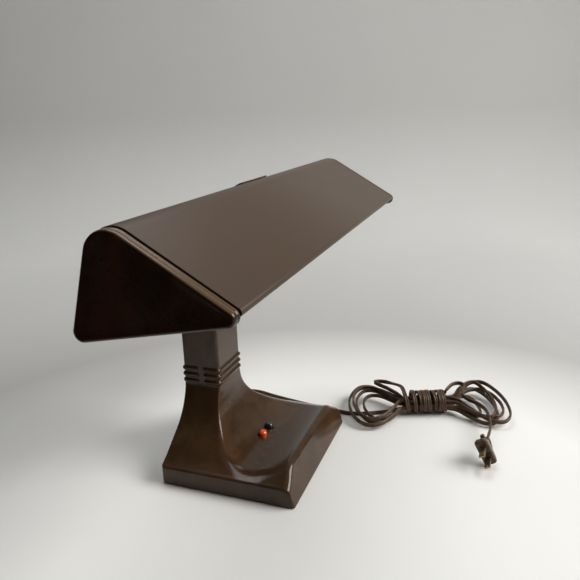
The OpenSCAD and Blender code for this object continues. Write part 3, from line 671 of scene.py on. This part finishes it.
def stand_body(x, y, z):
    """Solid form of the base and neck without the ribs."""
    lower = round_max(flare_field(x, z), side_field(y, z), np.interp(z, *DISH_EDGE))
    lower = round_max(lower, rect_field(x, y, half_w, half_d, PLAN_R), 1.0)
    lower = np.maximum(lower, z - RIB_Z[1])
    neck = rect_field(x, y - NECK_MID, NECK_HALF, NECK_HALF_D, NECK_R)
    neck = round_max(neck, z - neck_top, 1.6)
    neck = np.maximum(neck, RIB_Z[0] - z)
    return np.minimum(lower, neck)


def stand_ribs(x, y, z):
    """Half-round ribs around the neck, with a plain strip up the middle of each side."""
    ring = rect_field(x, y - NECK_MID, NECK_HALF, NECK_HALF_D, NECK_R) + 0.4
    height = np.minimum.reduce([np.abs(z - rib_z) for rib_z in RIB_Z])
    rib = np.hypot(ring, height) - RIB_R
    strip = np.where(np.abs(x) > NECK_HALF - 4, RIB_GAP - np.abs(y - NECK_MID), -9.0)
    return round_max(rib, strip, 1.2)


def stand_field(x, y, z):
    """Hollow moulding with its screw bosses, button holes and wire holes."""
    body = stand_body(x, y, z)
    outer = round_min(body, stand_ribs(x, y, z), 0.5)
    shell = np.maximum(outer, -(body + WALL))
    for px, py in BOSS_AT:
        from_axis = np.hypot(x - px, y - py)
        boss = np.maximum(np.maximum(from_axis - BOSS_R, cover_high[2] - z), outer)
        shell = np.minimum(shell, np.maximum(boss, BOSS_HOLE_R - from_axis))
    for c in BUTTON_AXES:
        from_axis = np.hypot(x - c[0], y - c[1])
        shell = round_max(shell, BUTTON_HOLE_R - from_axis, 0.5)
        shell = np.maximum(shell, np.minimum(SPOT_FACE_R - from_axis, SEAT_Z - z))
    hole_x, hole_z, hole_r, hole_y = CORD_HOLE
    cord_hole = np.maximum(np.hypot(x - hole_x, z - hole_z) - hole_r, hole_y - y)
    wire_hole = np.maximum(np.hypot(x, z - pivot[2]) - WIRE_HOLE_R, y - WIRE_HOLE_DEPTH_Y)
    shell = np.maximum(shell, -np.minimum(cord_hole, wire_hole))
    return round_max(shell, rim_z - z, 0.6)


stand = surface_net("base_moulding", stand_field, (-half_w - 1, -half_d - 1, rim_z - 1),
                    (half_w + 1, NECK_REAR + 4, neck_top + 1), 1.15)
dress(stand, "base_shell")


# ---- shade

SLOPE = math.radians(31.1)
REAR = math.radians(16.2)
BOTTOM = math.radians(10.85)
N_FRONT = np.array([-math.sin(SLOPE), math.cos(SLOPE)])
N_REAR = np.array([math.cos(REAR), math.sin(REAR)])
N_BOTTOM = np.array([-math.sin(BOTTOM), -math.cos(BOTTOM)])
D_FRONT, D_REAR, D_BOTTOM = 266.2, 84.95, -224.0
RIDGE_R, BACK_R, NOSE_R = 19.5, 8.0, 3.2
CAP_DROP = 4.7  # the end caps reach lower than the sheet
SHEET_T = 0.9
REFLECTOR_T = 0.6
STRAIGHT_STEPS = 10  # points along each flat side of the outline
sheet_low, sheet_high = box_mm("shade_sheet")
cap_high = box_mm("right_end_cap")[1]


def meet(n1, d1, n2, d2):
    """Crossing of two lines, each given by its normal and distance."""
    return np.linalg.solve(np.array([n1, n2]), np.array([d1, d2]))


def outline(t, front=0.0, rear=0.0, bottom=0.0, r_top=RIDGE_R, r_back=BACK_R, r_nose=NOSE_R):
    """The shade's rounded three-sided outline, moved in by t, from the ridge round to the front."""
    d = (D_FRONT - front, D_REAR - rear, D_BOTTOM - bottom)
    top = meet(N_FRONT, d[0] - r_top, N_REAR, d[1] - r_top)
    back = meet(N_REAR, d[1] - r_back, N_BOTTOM, d[2] - r_back)
    nose = meet(N_BOTTOM, d[2] - r_nose, N_FRONT, d[0] - r_nose)
    arcs = ((top, r_top, math.pi / 2 + SLOPE, REAR, 26),
            (back, r_back, REAR, -math.pi / 2 - BOTTOM, 14),
            (nose, r_nose, -math.pi / 2 - BOTTOM, SLOPE - 1.5 * math.pi, 14))
    points = []
    for centre, r, a, b, n in arcs:
        for angle in np.linspace(a, b, n + 1):
            points.append(centre + (r - t) * np.array([math.cos(angle), math.sin(angle)]))
    out = []
    for p, q in zip(points, points[1:] + points[:1]):
        gap = np.linalg.norm(q - p)
        out.append(p)
        if gap > 15:
            out += [p + (q - p) * k / STRAIGHT_STEPS for k in range(1, STRAIGHT_STEPS)]
    return np.array(out)


def folded_sheet(name, thickness, x_stations, mouth, warp=None, **shape):
    """Open folded sheet with its real thickness. It leaves out the opening that faces the desk."""
    outer, inner = outline(0.0, **shape), outline(thickness, **shape)
    front, rear, top = mouth
    flags = [not (front < y < rear and z < top) for y, z in outer]
    start = next(i for i in range(len(flags)) if flags[i] and not flags[i - 1])
    turn = [(start + i) % len(flags) for i in range(len(flags))]
    order = [i for i in turn if flags[i]]
    ring = np.vstack([outer[order], inner[order][::-1]])
    points = [np.array([x, y, z]) + (warp(x, y, z) if warp else 0)
              for x in x_stations for y, z in ring]
    n, m = len(order), len(ring)
    faces = tube_faces(len(x_stations), m)
    last = (len(x_stations) - 1) * m
    for j in range(n - 1):
        faces.append((j, j + 1, m - 2 - j, m - 1 - j))
        faces.append((last + j, last + j + 1, last + m - 2 - j, last + m - 1 - j))
    return mesh_object(name, points, faces)


def stations(low, high, count, end=1.5):
    """Stations along X with two close together at each end, for the rounded edges."""
    middle = np.linspace(low + end, high - end, count)[1:-1]
    return np.concatenate([[low, low + end], middle, [high - end, high]])


def sheet_warp(x, y, z):
    """The slight unevenness of a long folded sheet."""
    across = min(max((y - sheet_low[1]) / (sheet_high[1] - sheet_low[1]), 0), 1)
    belly = math.sin(math.pi * across) * math.cos(math.pi * x / (sheet_high[0] - sheet_low[0]))
    ripple = 0.10 * math.sin(x * 0.031 + 1.3) + 0.07 * math.sin(x * 0.067 + 0.4 + y * 0.02)
    return np.array([0.0, 0.0, -0.25 * belly + ripple * across * 0.6])


def rounded(obj, width):
    """Rounds the cut edges of a sheet, and leaves its bends alone."""
    bevel_mesh(obj.data, width, above_angle=50.0)
    finish_mesh(obj.data, 40.0)
    return obj


# front, rear and top of each opening
SHEET_MOUTH = (-90.0, -16.0, 248.0)
REFLECTOR_MOUTH = (-84.0, -17.0, 242.0)
skin = folded_sheet("shade_skin", SHEET_T, stations(sheet_low[0], sheet_high[0], 40),
                    SHEET_MOUTH, sheet_warp)
dress(rounded(skin, 0.22), "shade_sheet")
reflector_low, reflector_high = box_mm("reflector")
inner = folded_sheet("inner_reflector", REFLECTOR_T,
                     stations(reflector_low[0], reflector_high[0], 24), REFLECTOR_MOUTH,
                     front=4.0, rear=22.0, bottom=SHEET_T, r_top=10.0, r_back=6.0, r_nose=3.0)
dress(rounded(inner, 0.15), "reflector")


def cap_profile():
    """Stations (x, inset) from the middle of a cap's outer face to the middle of its inner face."""
    face = [(0.5, 9.0), (0.35, 5.2), (0.1, 3.6)]
    rim = [(0.0, 2.6), (0.25, 1.75), (0.8, 1.15), (1.6, 0.85), (3.2, 0.7), (4.5, 0.75)]
    groove = [(5.0, 0.9), (5.35, 1.12), (5.7, 1.18), (6.05, 1.1)]
    bead = [(6.5, 0.88), (7.2, 0.72), (8.3, 0.78), (8.8, 1.0), (9.1, 1.5), (9.2, 2.4)]
    tongue = [(0.2, 2.4), (0.6, 1.05), (10.4, 1.05), (11.0, 1.5), (11.0, 3.5), (10.6, 4.0)]
    inside = [(3.6, 4.0), (2.8, 4.6), (2.6, 6.5), (2.6, 9.0)]
    return [(start - back, inset)
            for start, group in ((cap_high[0], face + rim + groove + bead),
                                 (sheet_high[0], tongue), (cap_high[0], inside))
            for back, inset in group]


def end_cap(name, side):
    """Moulded cap: flat outer face, rounded rim, groove, bead and a tongue inside the sheet."""
    points = []
    profile = cap_profile()
    for x, inset in profile:
        proud = x > sheet_high[0]
        nose = 6.5 if proud and inset < 4.2 else (NOSE_R if not proud and inset < 3 else 9.5)
        ring = outline(inset, bottom=-CAP_DROP if proud else 0.0, r_nose=max(nose, inset + 0.6),
                       r_back=max(BACK_R, inset + 0.6))
        points += [(side * x, y, z) for y, z in ring]
    n, m = len(profile), len(points) // len(profile)
    ends = [tuple(range(m)), tuple((n - 1) * m + j for j in range(m))]
    return mesh_object(name, points, tube_faces(n, m) + ends, 50.0)


dress(end_cap("end_cap_left", -1), "left_end_cap")
dress(end_cap("end_cap_right", 1), "right_end_cap")


# ---- buttons and springs


BUTTON_R = 4.7
DOME_H = 3.6
FLANGE_DROP = 10.8  # from the top of the dome down to the flange
STEM_R = 2.0


def button(node):
    """Domed push button with a small shoulder, a flange under the moulding and a stem."""
    low, high = box_mm(node)
    r, flange_r = BUTTON_R, (high[0] - low[0]) / 2
    top, foot, flange_z = high[2], low[2], high[2] - FLANGE_DROP
    dome = [(r * math.sin(a), top - DOME_H + DOME_H * math.cos(a))
            for a in np.linspace(0, math.pi / 2, 14)[1:]]
    skirt = [(r, top - 4.2), (r, flange_z + 1.3), (flange_r - 0.2, flange_z + 1.3),
             (flange_r, flange_z + 1.1), (flange_r, flange_z + 0.2), (flange_r - 0.2, flange_z),
             (STEM_R, flange_z), (STEM_R, foot + 0.3), (STEM_R - 0.3, foot)]
    profile = [(0, top)] + dome + skirt + [(0, foot)]
    dress(lathe(node + "_dome", profile, 48, (low + high) / 2), node)


button("start_button")
button("stop_button")


SPRING_WIRE_R = 0.35
SPRING_TURNS = 7.0
CLOSED_TURNS = 0.9  # flat turns at each end


def coil_spring(node, name):
    """Compression spring that stands on the switch and gives way under its button."""
    low, high = box_mm(node)
    c = (low + high) / 2
    r = (high[0] - low[0]) / 2 - SPRING_WIRE_R
    a = np.linspace(0, 2 * math.pi * SPRING_TURNS, int(SPRING_TURNS * 28))
    open_turns = SPRING_TURNS - 2 * CLOSED_TURNS
    rise = np.clip((a / (2 * math.pi) - CLOSED_TURNS) / open_turns, 0, 1)
    z = low[2] + SPRING_WIRE_R + rise * (high[2] - low[2] - 2 * SPRING_WIRE_R)
    path = np.stack([c[0] + r * np.cos(a), c[1] + r * np.sin(a), z], axis=1)
    up = np.array([0.0, 0.0, 1.0])
    coil = dress(sweep(name, path, up, circle_section(SPRING_WIRE_R, 10)), node)
    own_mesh(coil)


coil_spring("start_spring", "start_coil")
coil_spring("stop_spring", "stop_coil")

# ---- cord, plug and wires

cord_low, cord_high = box_mm("power_cord")
plug_low, plug_high = box_mm("plug_body")
grommet_low, grommet_high = box_mm("cord_grommet")
LOBE_R = 1.35
LOBE_SPREAD = 1.2
LIE = LOBE_R + LOBE_SPREAD + 0.1  # height of a cord that stands on its edge on the table
FLAT = LOBE_R + 0.1  # height of a cord that lies flat on the table
random = np.random.default_rng(12)

waist = np.array([cord_high[0] - 57.5, cord_low[1] + 95.0])
hank_axis = np.array([0.331, -0.943])
hank_side = np.array([0.943, 0.331])


def hank_point(s, side, z):
    """Point of the coiled cord: along the hank, across it and above the table."""
    xy = waist + hank_axis * s + hank_side * side
    return np.array([xy[0], xy[1], z])


WAIST_HALF = 26.0
#        end reach, half-width, height of the near side, of the end and of the far side
RIGHT_LOOPS = [(63, 24, 5.0, 5.0, 8.0), (82, 41, 3.2, 6.0, 9.0), (90, 30, 6.5, 9.0, 15.0),
               (96, 44, 3.4, 11.0, 20.0), (80, 36, 9.0, 14.0, 25.0)]
LEFT_LOOPS = [(78, 27, 4.0, 9.5, 9.0), (87, 34, 3.2, 10.0, 13.0), (96, 40, 3.4, 9.5, 17.0),
              (91, 37, 9.0, 15.0, 14.0)]
#        place across the waist and height of each strand that leaves it and comes back
OUTGOING = [(1.6, 7.4), (5.0, 7.6), (8.6, 10.5), (2.4, 14.2), (6.0, 15.6)]
COMING = [(-1.6, 7.4), (-5.0, 7.6), (-8.4, 10.5), (-1.0, 20.2), (-4.6, 15.0)]
WRAP_TURNS, WRAP_SIDE, WRAP_Z, WRAP_MID_Z = 7.75, 13.0, 12.4, 14.6
WRAP_START, WRAP_LENGTH = -23.5, 46.0  # the wraps along the hank
WRAP_STEPS = 12  # points in one turn


def loop_points(sign, reach, half, near, end, far, leave, back):
    """One long loop of the hank, from the waist out to its end and back."""
    pts = []
    for t in np.linspace(0, 1, 13)[1:-1]:
        bow = math.sin(math.pi * t)
        s = WAIST_HALF + 4 + (reach - WAIST_HALF - 4) * (1 - math.cos(2 * math.pi * t)) / 2
        side = 1.41 * half * math.sin(2 * math.pi * t) * bow ** 1.25
        share = bow ** 1.2
        edge = (side / half + 1) / 2
        table = near + (far - near) * edge
        table += (end - table) * bow ** 6
        from_waist = leave if t < 0.5 else back
        z = from_waist[1] * (1 - share) + table * share
        side += from_waist[0] * (1 - share)
        wobble = random.normal(0, 0.7, 2)
        pts.append(hank_point(sign * s, side + wobble[0], max(z + 0.4 * wobble[1], LIE)))
    return pts


def cord_path():
    """Path of the whole cord and, for each point, the direction of its wide side."""
    cord_x, _, cord_z = (grommet_low + grommet_high) / 2
    wall_y = grommet_low[1]
    up, flat = np.array([0, 0, 1.0]), np.array([1.0, 0, 0])
    pts, wide = [], []

    def add(w, *points):
        pts.extend(np.asarray(p, float) for p in points)
        wide.extend([w] * len(points))

    add(flat, (cord_x, wall_y - 2, cord_z), (cord_x, wall_y + 8, cord_z),
        (cord_x + 1, grommet_high[1] + 6, cord_z - 0.6), (cord_x + 8, cord_high[1] - 17, 6.5))
    add(up, (cord_x + 20, cord_high[1] - 7.5, LIE + 0.6))
    for x, y in ((46, 3.2), (69, 14), (82, 32), (85, 51), (79, 76), (73.5, 101), (68.5, 129),
                 (65, 158)):
        add(up, (cord_x + x - 0.5, cord_high[1] - y, LIE))
    add(up, hank_point(-92, -6, LIE), hank_point(-62, -5, LIE), hank_point(-38, -4, 5.5))
    for k, (right, leave, back) in enumerate(zip(RIGHT_LOOPS, OUTGOING, COMING)):
        add(up, *[hank_point(s, *leave) for s in (-18, 0, 18)])
        add(up, *loop_points(1, *right, leave, back))
        add(up, *[hank_point(s, *back) for s in (18, 0, -18)])
        if k < len(LEFT_LOOPS):
            reach, half, near, end, far = LEFT_LOOPS[k]
            add(up, *loop_points(-1, reach, -half, far, end, near, back, OUTGOING[k + 1]))
    axis3 = np.array([hank_axis[0], hank_axis[1], 0.0])
    for s, side, z, w in ((-27, -5, 17, up), (-35, 3, 22, up), (-46, 14, 25, up),
                          (-58, 24, 27, up), (-61, 33, 26, up), (-52, 36, 25, up),
                          (-41, 29, 25.5, axis3), (-30, 17, 26.5, axis3)):
        add(w, hank_point(s, side, z))
    for i in range(round(WRAP_TURNS * WRAP_STEPS) + 1):
        a = math.radians(115 + 30 * i)
        turn = i / WRAP_STEPS
        grow = 1 + 0.07 * math.sin(2.1 * turn)
        slant = 1.6 * math.sin(1.9 * turn + 0.6) * math.cos(a + 0.5)
        first_pass = -4.5 * max(0.0, 1 - turn / 0.45)
        s = WRAP_START + WRAP_LENGTH * turn / WRAP_TURNS + slant + first_pass
        height = WRAP_MID_Z + WRAP_Z * min(grow, 1.0) * math.sin(a)
        add(axis3, hank_point(s, WRAP_SIDE * grow * math.cos(a), height))
    for s, side, z in ((27, 14, 23), (35, 21, 26), (44, 24, 26), (49, 19, 25.5), (46, 11, 23.5),
                       (43, 2, 21), (47, -9, 20), (56, -18, 19)):
        add(up, hank_point(s, side, z))
    _, plug_y, plug_z = (plug_low + plug_high) / 2
    for ahead, aside, z in ((68, 5, 18), (48, -0.5, 17.5), (26, -2.4, 17), (8, -1, plug_z + 0.6),
                            (-3, 0, plug_z)):
        add(up, (plug_high[0] + ahead, plug_y + aside, z))
    return np.array(pts), np.array(wide)


key_points, key_wide = cord_path()
both = smooth_path(np.hstack([key_points, key_wide * 10.0]), 1.6)
path, wide = smooth_values(both[:, :3], 2), smooth_values(both[:, 3:], 14)
path[:, 2] = np.maximum(path[:, 2], FLAT)
cord = sweep("mains_cord", path, wide, cord_section(LOBE_R, LOBE_SPREAD, 0.8))
dress(cord, "power_cord")


PLUG_ROLL = math.radians(28.0)
plug_c = np.array([plug_low[0], *((plug_low + plug_high) / 2)[1:]])


def plug_field(x, y, z):
    """Moulded flat plug: a rounded face, a waisted grip and a ringed tail where the cord enters."""
    u, dy, dz = x - plug_c[0], y - plug_c[1], z - plug_c[2]
    w = dy * math.sin(PLUG_ROLL) + dz * math.cos(PLUG_ROLL)
    v = dy * math.cos(PLUG_ROLL) - dz * math.sin(PLUG_ROLL)
    rings = 0.45 * np.cos(2 * math.pi * (u - 18) / 2.6) * ((u > 17) & (u < 26))
    grip_w = np.interp(u, [0, 3, 7, 11, 16, 20, 27], [13.6, 14.6, 13.8, 10.6, 6.9, 5.2, 4.3])
    grip_v = np.interp(u, [0, 3, 8, 13, 20, 27], [6.2, 6.8, 6.3, 5.2, 4.2, 3.4])
    a, b = grip_w + rings, grip_v + rings
    body = round_max(rect_field(w, v, a, b, np.minimum(3.2, 0.8 * b)), -u, 1.2)
    lug = np.maximum(rect_field(u - 18.5, v, 2.4, 2.2, 0.8), np.maximum(w - 11.5, -w))
    body = round_min(body, lug, 1.0)
    return round_max(body, u - (plug_high[0] - plug_c[0]), 1.0) * 0.8


dress(surface_net("plug_moulding", plug_field, plug_low - 1, plug_high + 1, 0.55), "plug_body")

WIRE_R = 1.05
LEAN_AWAY = np.array([0.31, 0.52, 0.79])  # no wire runs along this direction


def wire_run(name, node, paths):
    """Several round wires as one piece."""
    parts = []
    for i, pts in enumerate(paths):
        path = smooth_path(pts, 2.5)
        wide = np.cross(np.gradient(path, axis=0), LEAN_AWAY)
        parts.append(sweep(f"{name}_{i}", path, wide, circle_section(WIRE_R, 12)))
    dress(join(parts, name), node)


def join(parts, name):
    """Joins mesh objects into one new object."""
    bm = bmesh.new()
    for p in parts:
        bm.from_mesh(p.data)
    mesh = bpy.data.meshes.new(name)
    bm.to_mesh(mesh)
    bm.free()
    for p in parts:
        bpy.data.objects.remove(p)
    finish_mesh(mesh, 60.0)
    return scene_object(name, mesh)


wire_x = box_mm("base_wiring")[1][0]
wire_run("stand_wires", "base_wiring", [
    [(wire_x - 1, 61, 11), (wire_x - 1, 40, 10), (wire_x - 2, 24, 9), (22, 16, 8.4),
     (15, 8.9, 8.6)],
    [(wire_x - 3.4, 61, 11), (wire_x - 4, 40, 9.6), (38, 22, 8.6), (12, 15, 8.4), (5, 8.9, 8.6)],
    [(-15, 8.9, 8.6), (-17, 17, 8.4), (-42, 26, 10), (-38, 44, 28), (-33, NECK_MID, 40),
     (-16, NECK_MID, 47), (-12, NECK_MID, 80), (-13, NECK_MID, 180), (-11, NECK_MID, 240),
     (-2, 49, 258), (0, 42, pivot[2])],
    [(-5, 8.9, 8.6), (-6, 19, 8.4), (-41, 29, 12), (-41, 46, 27), (-36, NECK_MID + 2, 42),
     (-14, NECK_MID + 3, 50), (-9, NECK_MID + 2, 80), (-8, NECK_MID + 2, 180),
     (-8, NECK_MID + 1, 240), (1, 50, 256), (1.5, 42, pivot[2])]])

shade_wire_low, shade_wire_high = box_mm("shade_wiring")
_, sy, sz = (shade_wire_low + shade_wire_high) / 2
xs = np.linspace(shade_wire_low[0], shade_wire_high[0], 19)
wire_run("shade_wires", "shade_wiring", [
    [(x, sy + 0.7 * math.sin(x * 0.09), sz + 0.7 * math.cos(x * 0.07)) for x in xs],
    [(x, sy + 2.4 + 0.6 * math.cos(x * 0.08), sz + 0.9 + 0.6 * math.sin(x * 0.06))
     for x in xs[2:-2]]])


def hinge_sleeve():
    """Woven sleeve that carries the wires across the hinge."""
    neck_end = box_mm("neck_wire_sleeve")[1][1]
    pts = [(0, neck_end, pivot[2]), (0, pivot[1] + 8, pivot[2])]
    pts += [(0, *(pivot[1:] - ahead * N_REAR)) for ahead in (0, 6, 18)]
    obj = sweep("hinge_sleeve", smooth_path(pts, 0.8), np.array([1.0, 0, 0]),
                circle_section(2.9, 28))
    obj.data.materials.append(LOOKS["sleeve"])
    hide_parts("neck_wire_sleeve", "shade_wire_sleeve")
    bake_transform(obj)


hinge_sleeve()

# ---- parts carried over from the design


def finished_copy(node, width, name=None, segments=2, smooth_angle=35.0):
    """A copy of a CAD node with rounded edges and its material."""
    name = name or node + "_finished"
    mesh = frame["nodes"][node].data.copy()
    mesh.name = name
    bevel_mesh(mesh, width, segments)
    finish_mesh(mesh, smooth_angle)
    dress(scene_object(name, mesh), node)


# width of each node's rounded edges
EDGE_WIDTH = {
    "bottom_cover": 0.25, "cover_screws": 0.2, "ballast_core": 0.3, "ballast_coil": 0.8,
    "ballast_strap": 0.25, "ballast_screws": 0.15, "switch_body": 0.5, "switch_plate": 0.15,
    "switch_screws": 0.15, "switch_terminals": 0.1, "cord_grommet": 0.5, "plug_blades": 0.2,
    "neck_bushing": 0.3, "neck_bracket": 0.3, "neck_bracket_screws": 0.2, "pivot_bolts": 0.3,
    "pivot_washers": 0.15, "pivot_nuts": 0.25, "shade_grommet": 0.3, "shade_bracket": 0.35,
    "bracket_rivets": 0.45, "reflector_screws": 0.2, "cap_screws": 0.2, "left_lampholder": 0.6,
    "right_lampholder": 0.6, "lampholder_contacts": 0.15, "end_brackets": 0.2,
    "end_bracket_screws": 0.2, "tube_glass": 0.2, "tube_end_caps": 0.5, "tube_pins": 0.3,
    "tube_cathodes": 0.1, "lamp_rotors": 0.4,
}
for node_name, edge in EDGE_WIDTH.items():
    finished_copy(node_name, edge)
finished_copy("felt_pad", 0.5, "felt_cloth", 3, 50.0)

# ---- stage, light and camera


def backdrop():
    """Pale floor that sweeps up into a wall behind the lamp, clear when seen from underneath."""
    k = Look("paper", Specular_IOR_Level=0.1, Roughness=0.8)
    yaw = math.radians(20.5)
    cloth = k.noise(3.0, 4.0, 0.5)
    turn = k.node("VectorRotate", {"Angle": -yaw, "Vector": k.place}, rotation_type="Z_AXIS")
    reach = k.node("VectorMath", {0: turn.outputs["Vector"], 1: (-0.15, -0.06, 0.0)},
                   operation="DISTANCE")
    # painted light and shade: the floor is bright near the lamp, darker a little further off, and lighter again up
    # the wall
    painted_falloff = k.ramp(k.math("MULTIPLY", reach.outputs["Value"], 0.6),
                  [(0.19, (0.86, 0.855, 0.83)), (0.32, (0.47, 0.468, 0.455)),
                   (0.55, (0.57, 0.568, 0.555)), (0.78, (0.69, 0.688, 0.67))])
    k.color(k.mix(k.range(cloth, 0.0, 0.05), painted_falloff, (0.3, 0.3, 0.29)))
    k.bump((k.noise(5.0, 5.0, 0.55), 0.012, 0.12))
    see_through = k.node("MixShader", {"Fac": k.node("NewGeometry").outputs["Backfacing"],
                                       1: k.node("BsdfTransparent").outputs["BSDF"],
                                       2: k.shader.outputs["BSDF"]})
    k.feed(k.tree.nodes["Material Output"].inputs["Surface"], see_through.outputs["Shader"])
    floor_reach, wall_at, bend_r, height, half_width = 2.4, 1.25, 0.35, 2.4, 3.2
    profile = [(-floor_reach, 0.0), (wall_at - bend_r, 0.0)]
    profile += [(wall_at - bend_r + bend_r * math.sin(a), bend_r - bend_r * math.cos(a))
                for a in np.linspace(0, math.pi / 2, 14)[1:]]
    profile += [(wall_at, height)]
    ahead = np.array([math.cos(yaw), math.sin(yaw)])
    across = np.array([-math.sin(yaw), math.cos(yaw)])
    points = []
    for u, z in profile:
        for side in (-half_width, half_width):
            xy = ahead * u + across * side
            points.append((xy[0] / MM, xy[1] / MM, z / MM))
    faces = [(2 * i, 2 * i + 1, 2 * i + 3, 2 * i + 2) for i in range(len(profile) - 1)]
    obj = mesh_object("backdrop", points, faces, 60.0)
    obj.data.materials.append(k.material)


def area_light(name, place, target, size, power, color, spread):
    """A large soft light that faces a point. The spread is in degrees."""
    data = bpy.data.lights.new(name, "AREA")
    data.shape = "RECTANGLE"
    data.size, data.size_y = size
    data.energy = power
    data.color = color
    data.spread = math.radians(spread)
    obj = scene_object(name, data)
    obj.location = place
    obj.rotation_euler = (Vector(target) - Vector(place)).to_track_quat("-Z", "Y").to_euler()


def dark_card():
    """Cards on the lamp's left that the camera doesn't see and that darken reflections."""
    points = [(-2600, -400, 3), (-620, -400, 3), (-620, 2200, 3), (-2600, 2200, 3),
              (-1500, -700, 0), (-1500, 2200, 0), (-1500, 2200, 1500), (-1500, -700, 1500)]
    obj = mesh_object("dark_card", points, [(0, 1, 2, 3), (4, 5, 6, 7)])
    k = Look("card", Roughness=0.9)
    k.color((0.01, 0.009, 0.008))
    obj.data.materials.append(k.material)
    obj.visible_camera = False
    obj.visible_shadow = False


backdrop()
dark_card()
area_light("window", (0.4, -1.7, 1.4), (-0.05, 0.0, 0.05), (1.4, 1.2), 21.0,
           (1.0, 0.985, 0.96), 120.0)
area_light("ceiling", (0.98, 0.45, 2.1), (0.3, 0.2, 0.0), (1.6, 1.6), 27.0,
           (0.98, 0.99, 1.0), 180.0)


def room_light():
    """Dim light from all round, brighter from the side of the window."""
    world = bpy.data.worlds.new("room")
    k = Nodes(world)
    facing = k.node("VectorMath", {0: k.node("TexCoord").outputs["Generated"],
                                   1: (0.8, -0.5, 0.1)}, operation="DOT_PRODUCT")
    background = k.tree.nodes["Background"].inputs
    k.feed(background["Color"], (0.9, 0.89, 0.87))
    k.feed(background["Strength"], k.range(facing.outputs["Value"], 0.03, 0.5, -0.5, 0.9))
    bpy.context.scene.world = world


def aim_camera(place, yaw, pitch, roll, lens):
    """The main view. The angles are in degrees, and pitch looks down."""
    yaw, pitch, roll = math.radians(yaw), math.radians(pitch), math.radians(roll)
    data = bpy.data.cameras.new("camera")
    data.sensor_width = 36.0
    data.lens = lens
    data.clip_start = 0.01
    camera = scene_object("camera", data)
    look = Vector((math.cos(yaw) * math.cos(pitch), math.sin(yaw) * math.cos(pitch),
                   -math.sin(pitch)))
    camera.location = place
    camera.rotation_euler = look.to_track_quat("-Z", "Y").to_euler()
    camera.rotation_euler.rotate_axis("Z", roll)
    bpy.context.scene.camera = camera


room_light()
aim_camera((-0.5477, -0.2464, 0.3676), 20.496, 16.865, -1.803, 37.8)
bpy.context.scene.view_settings.view_transform = "Standard"
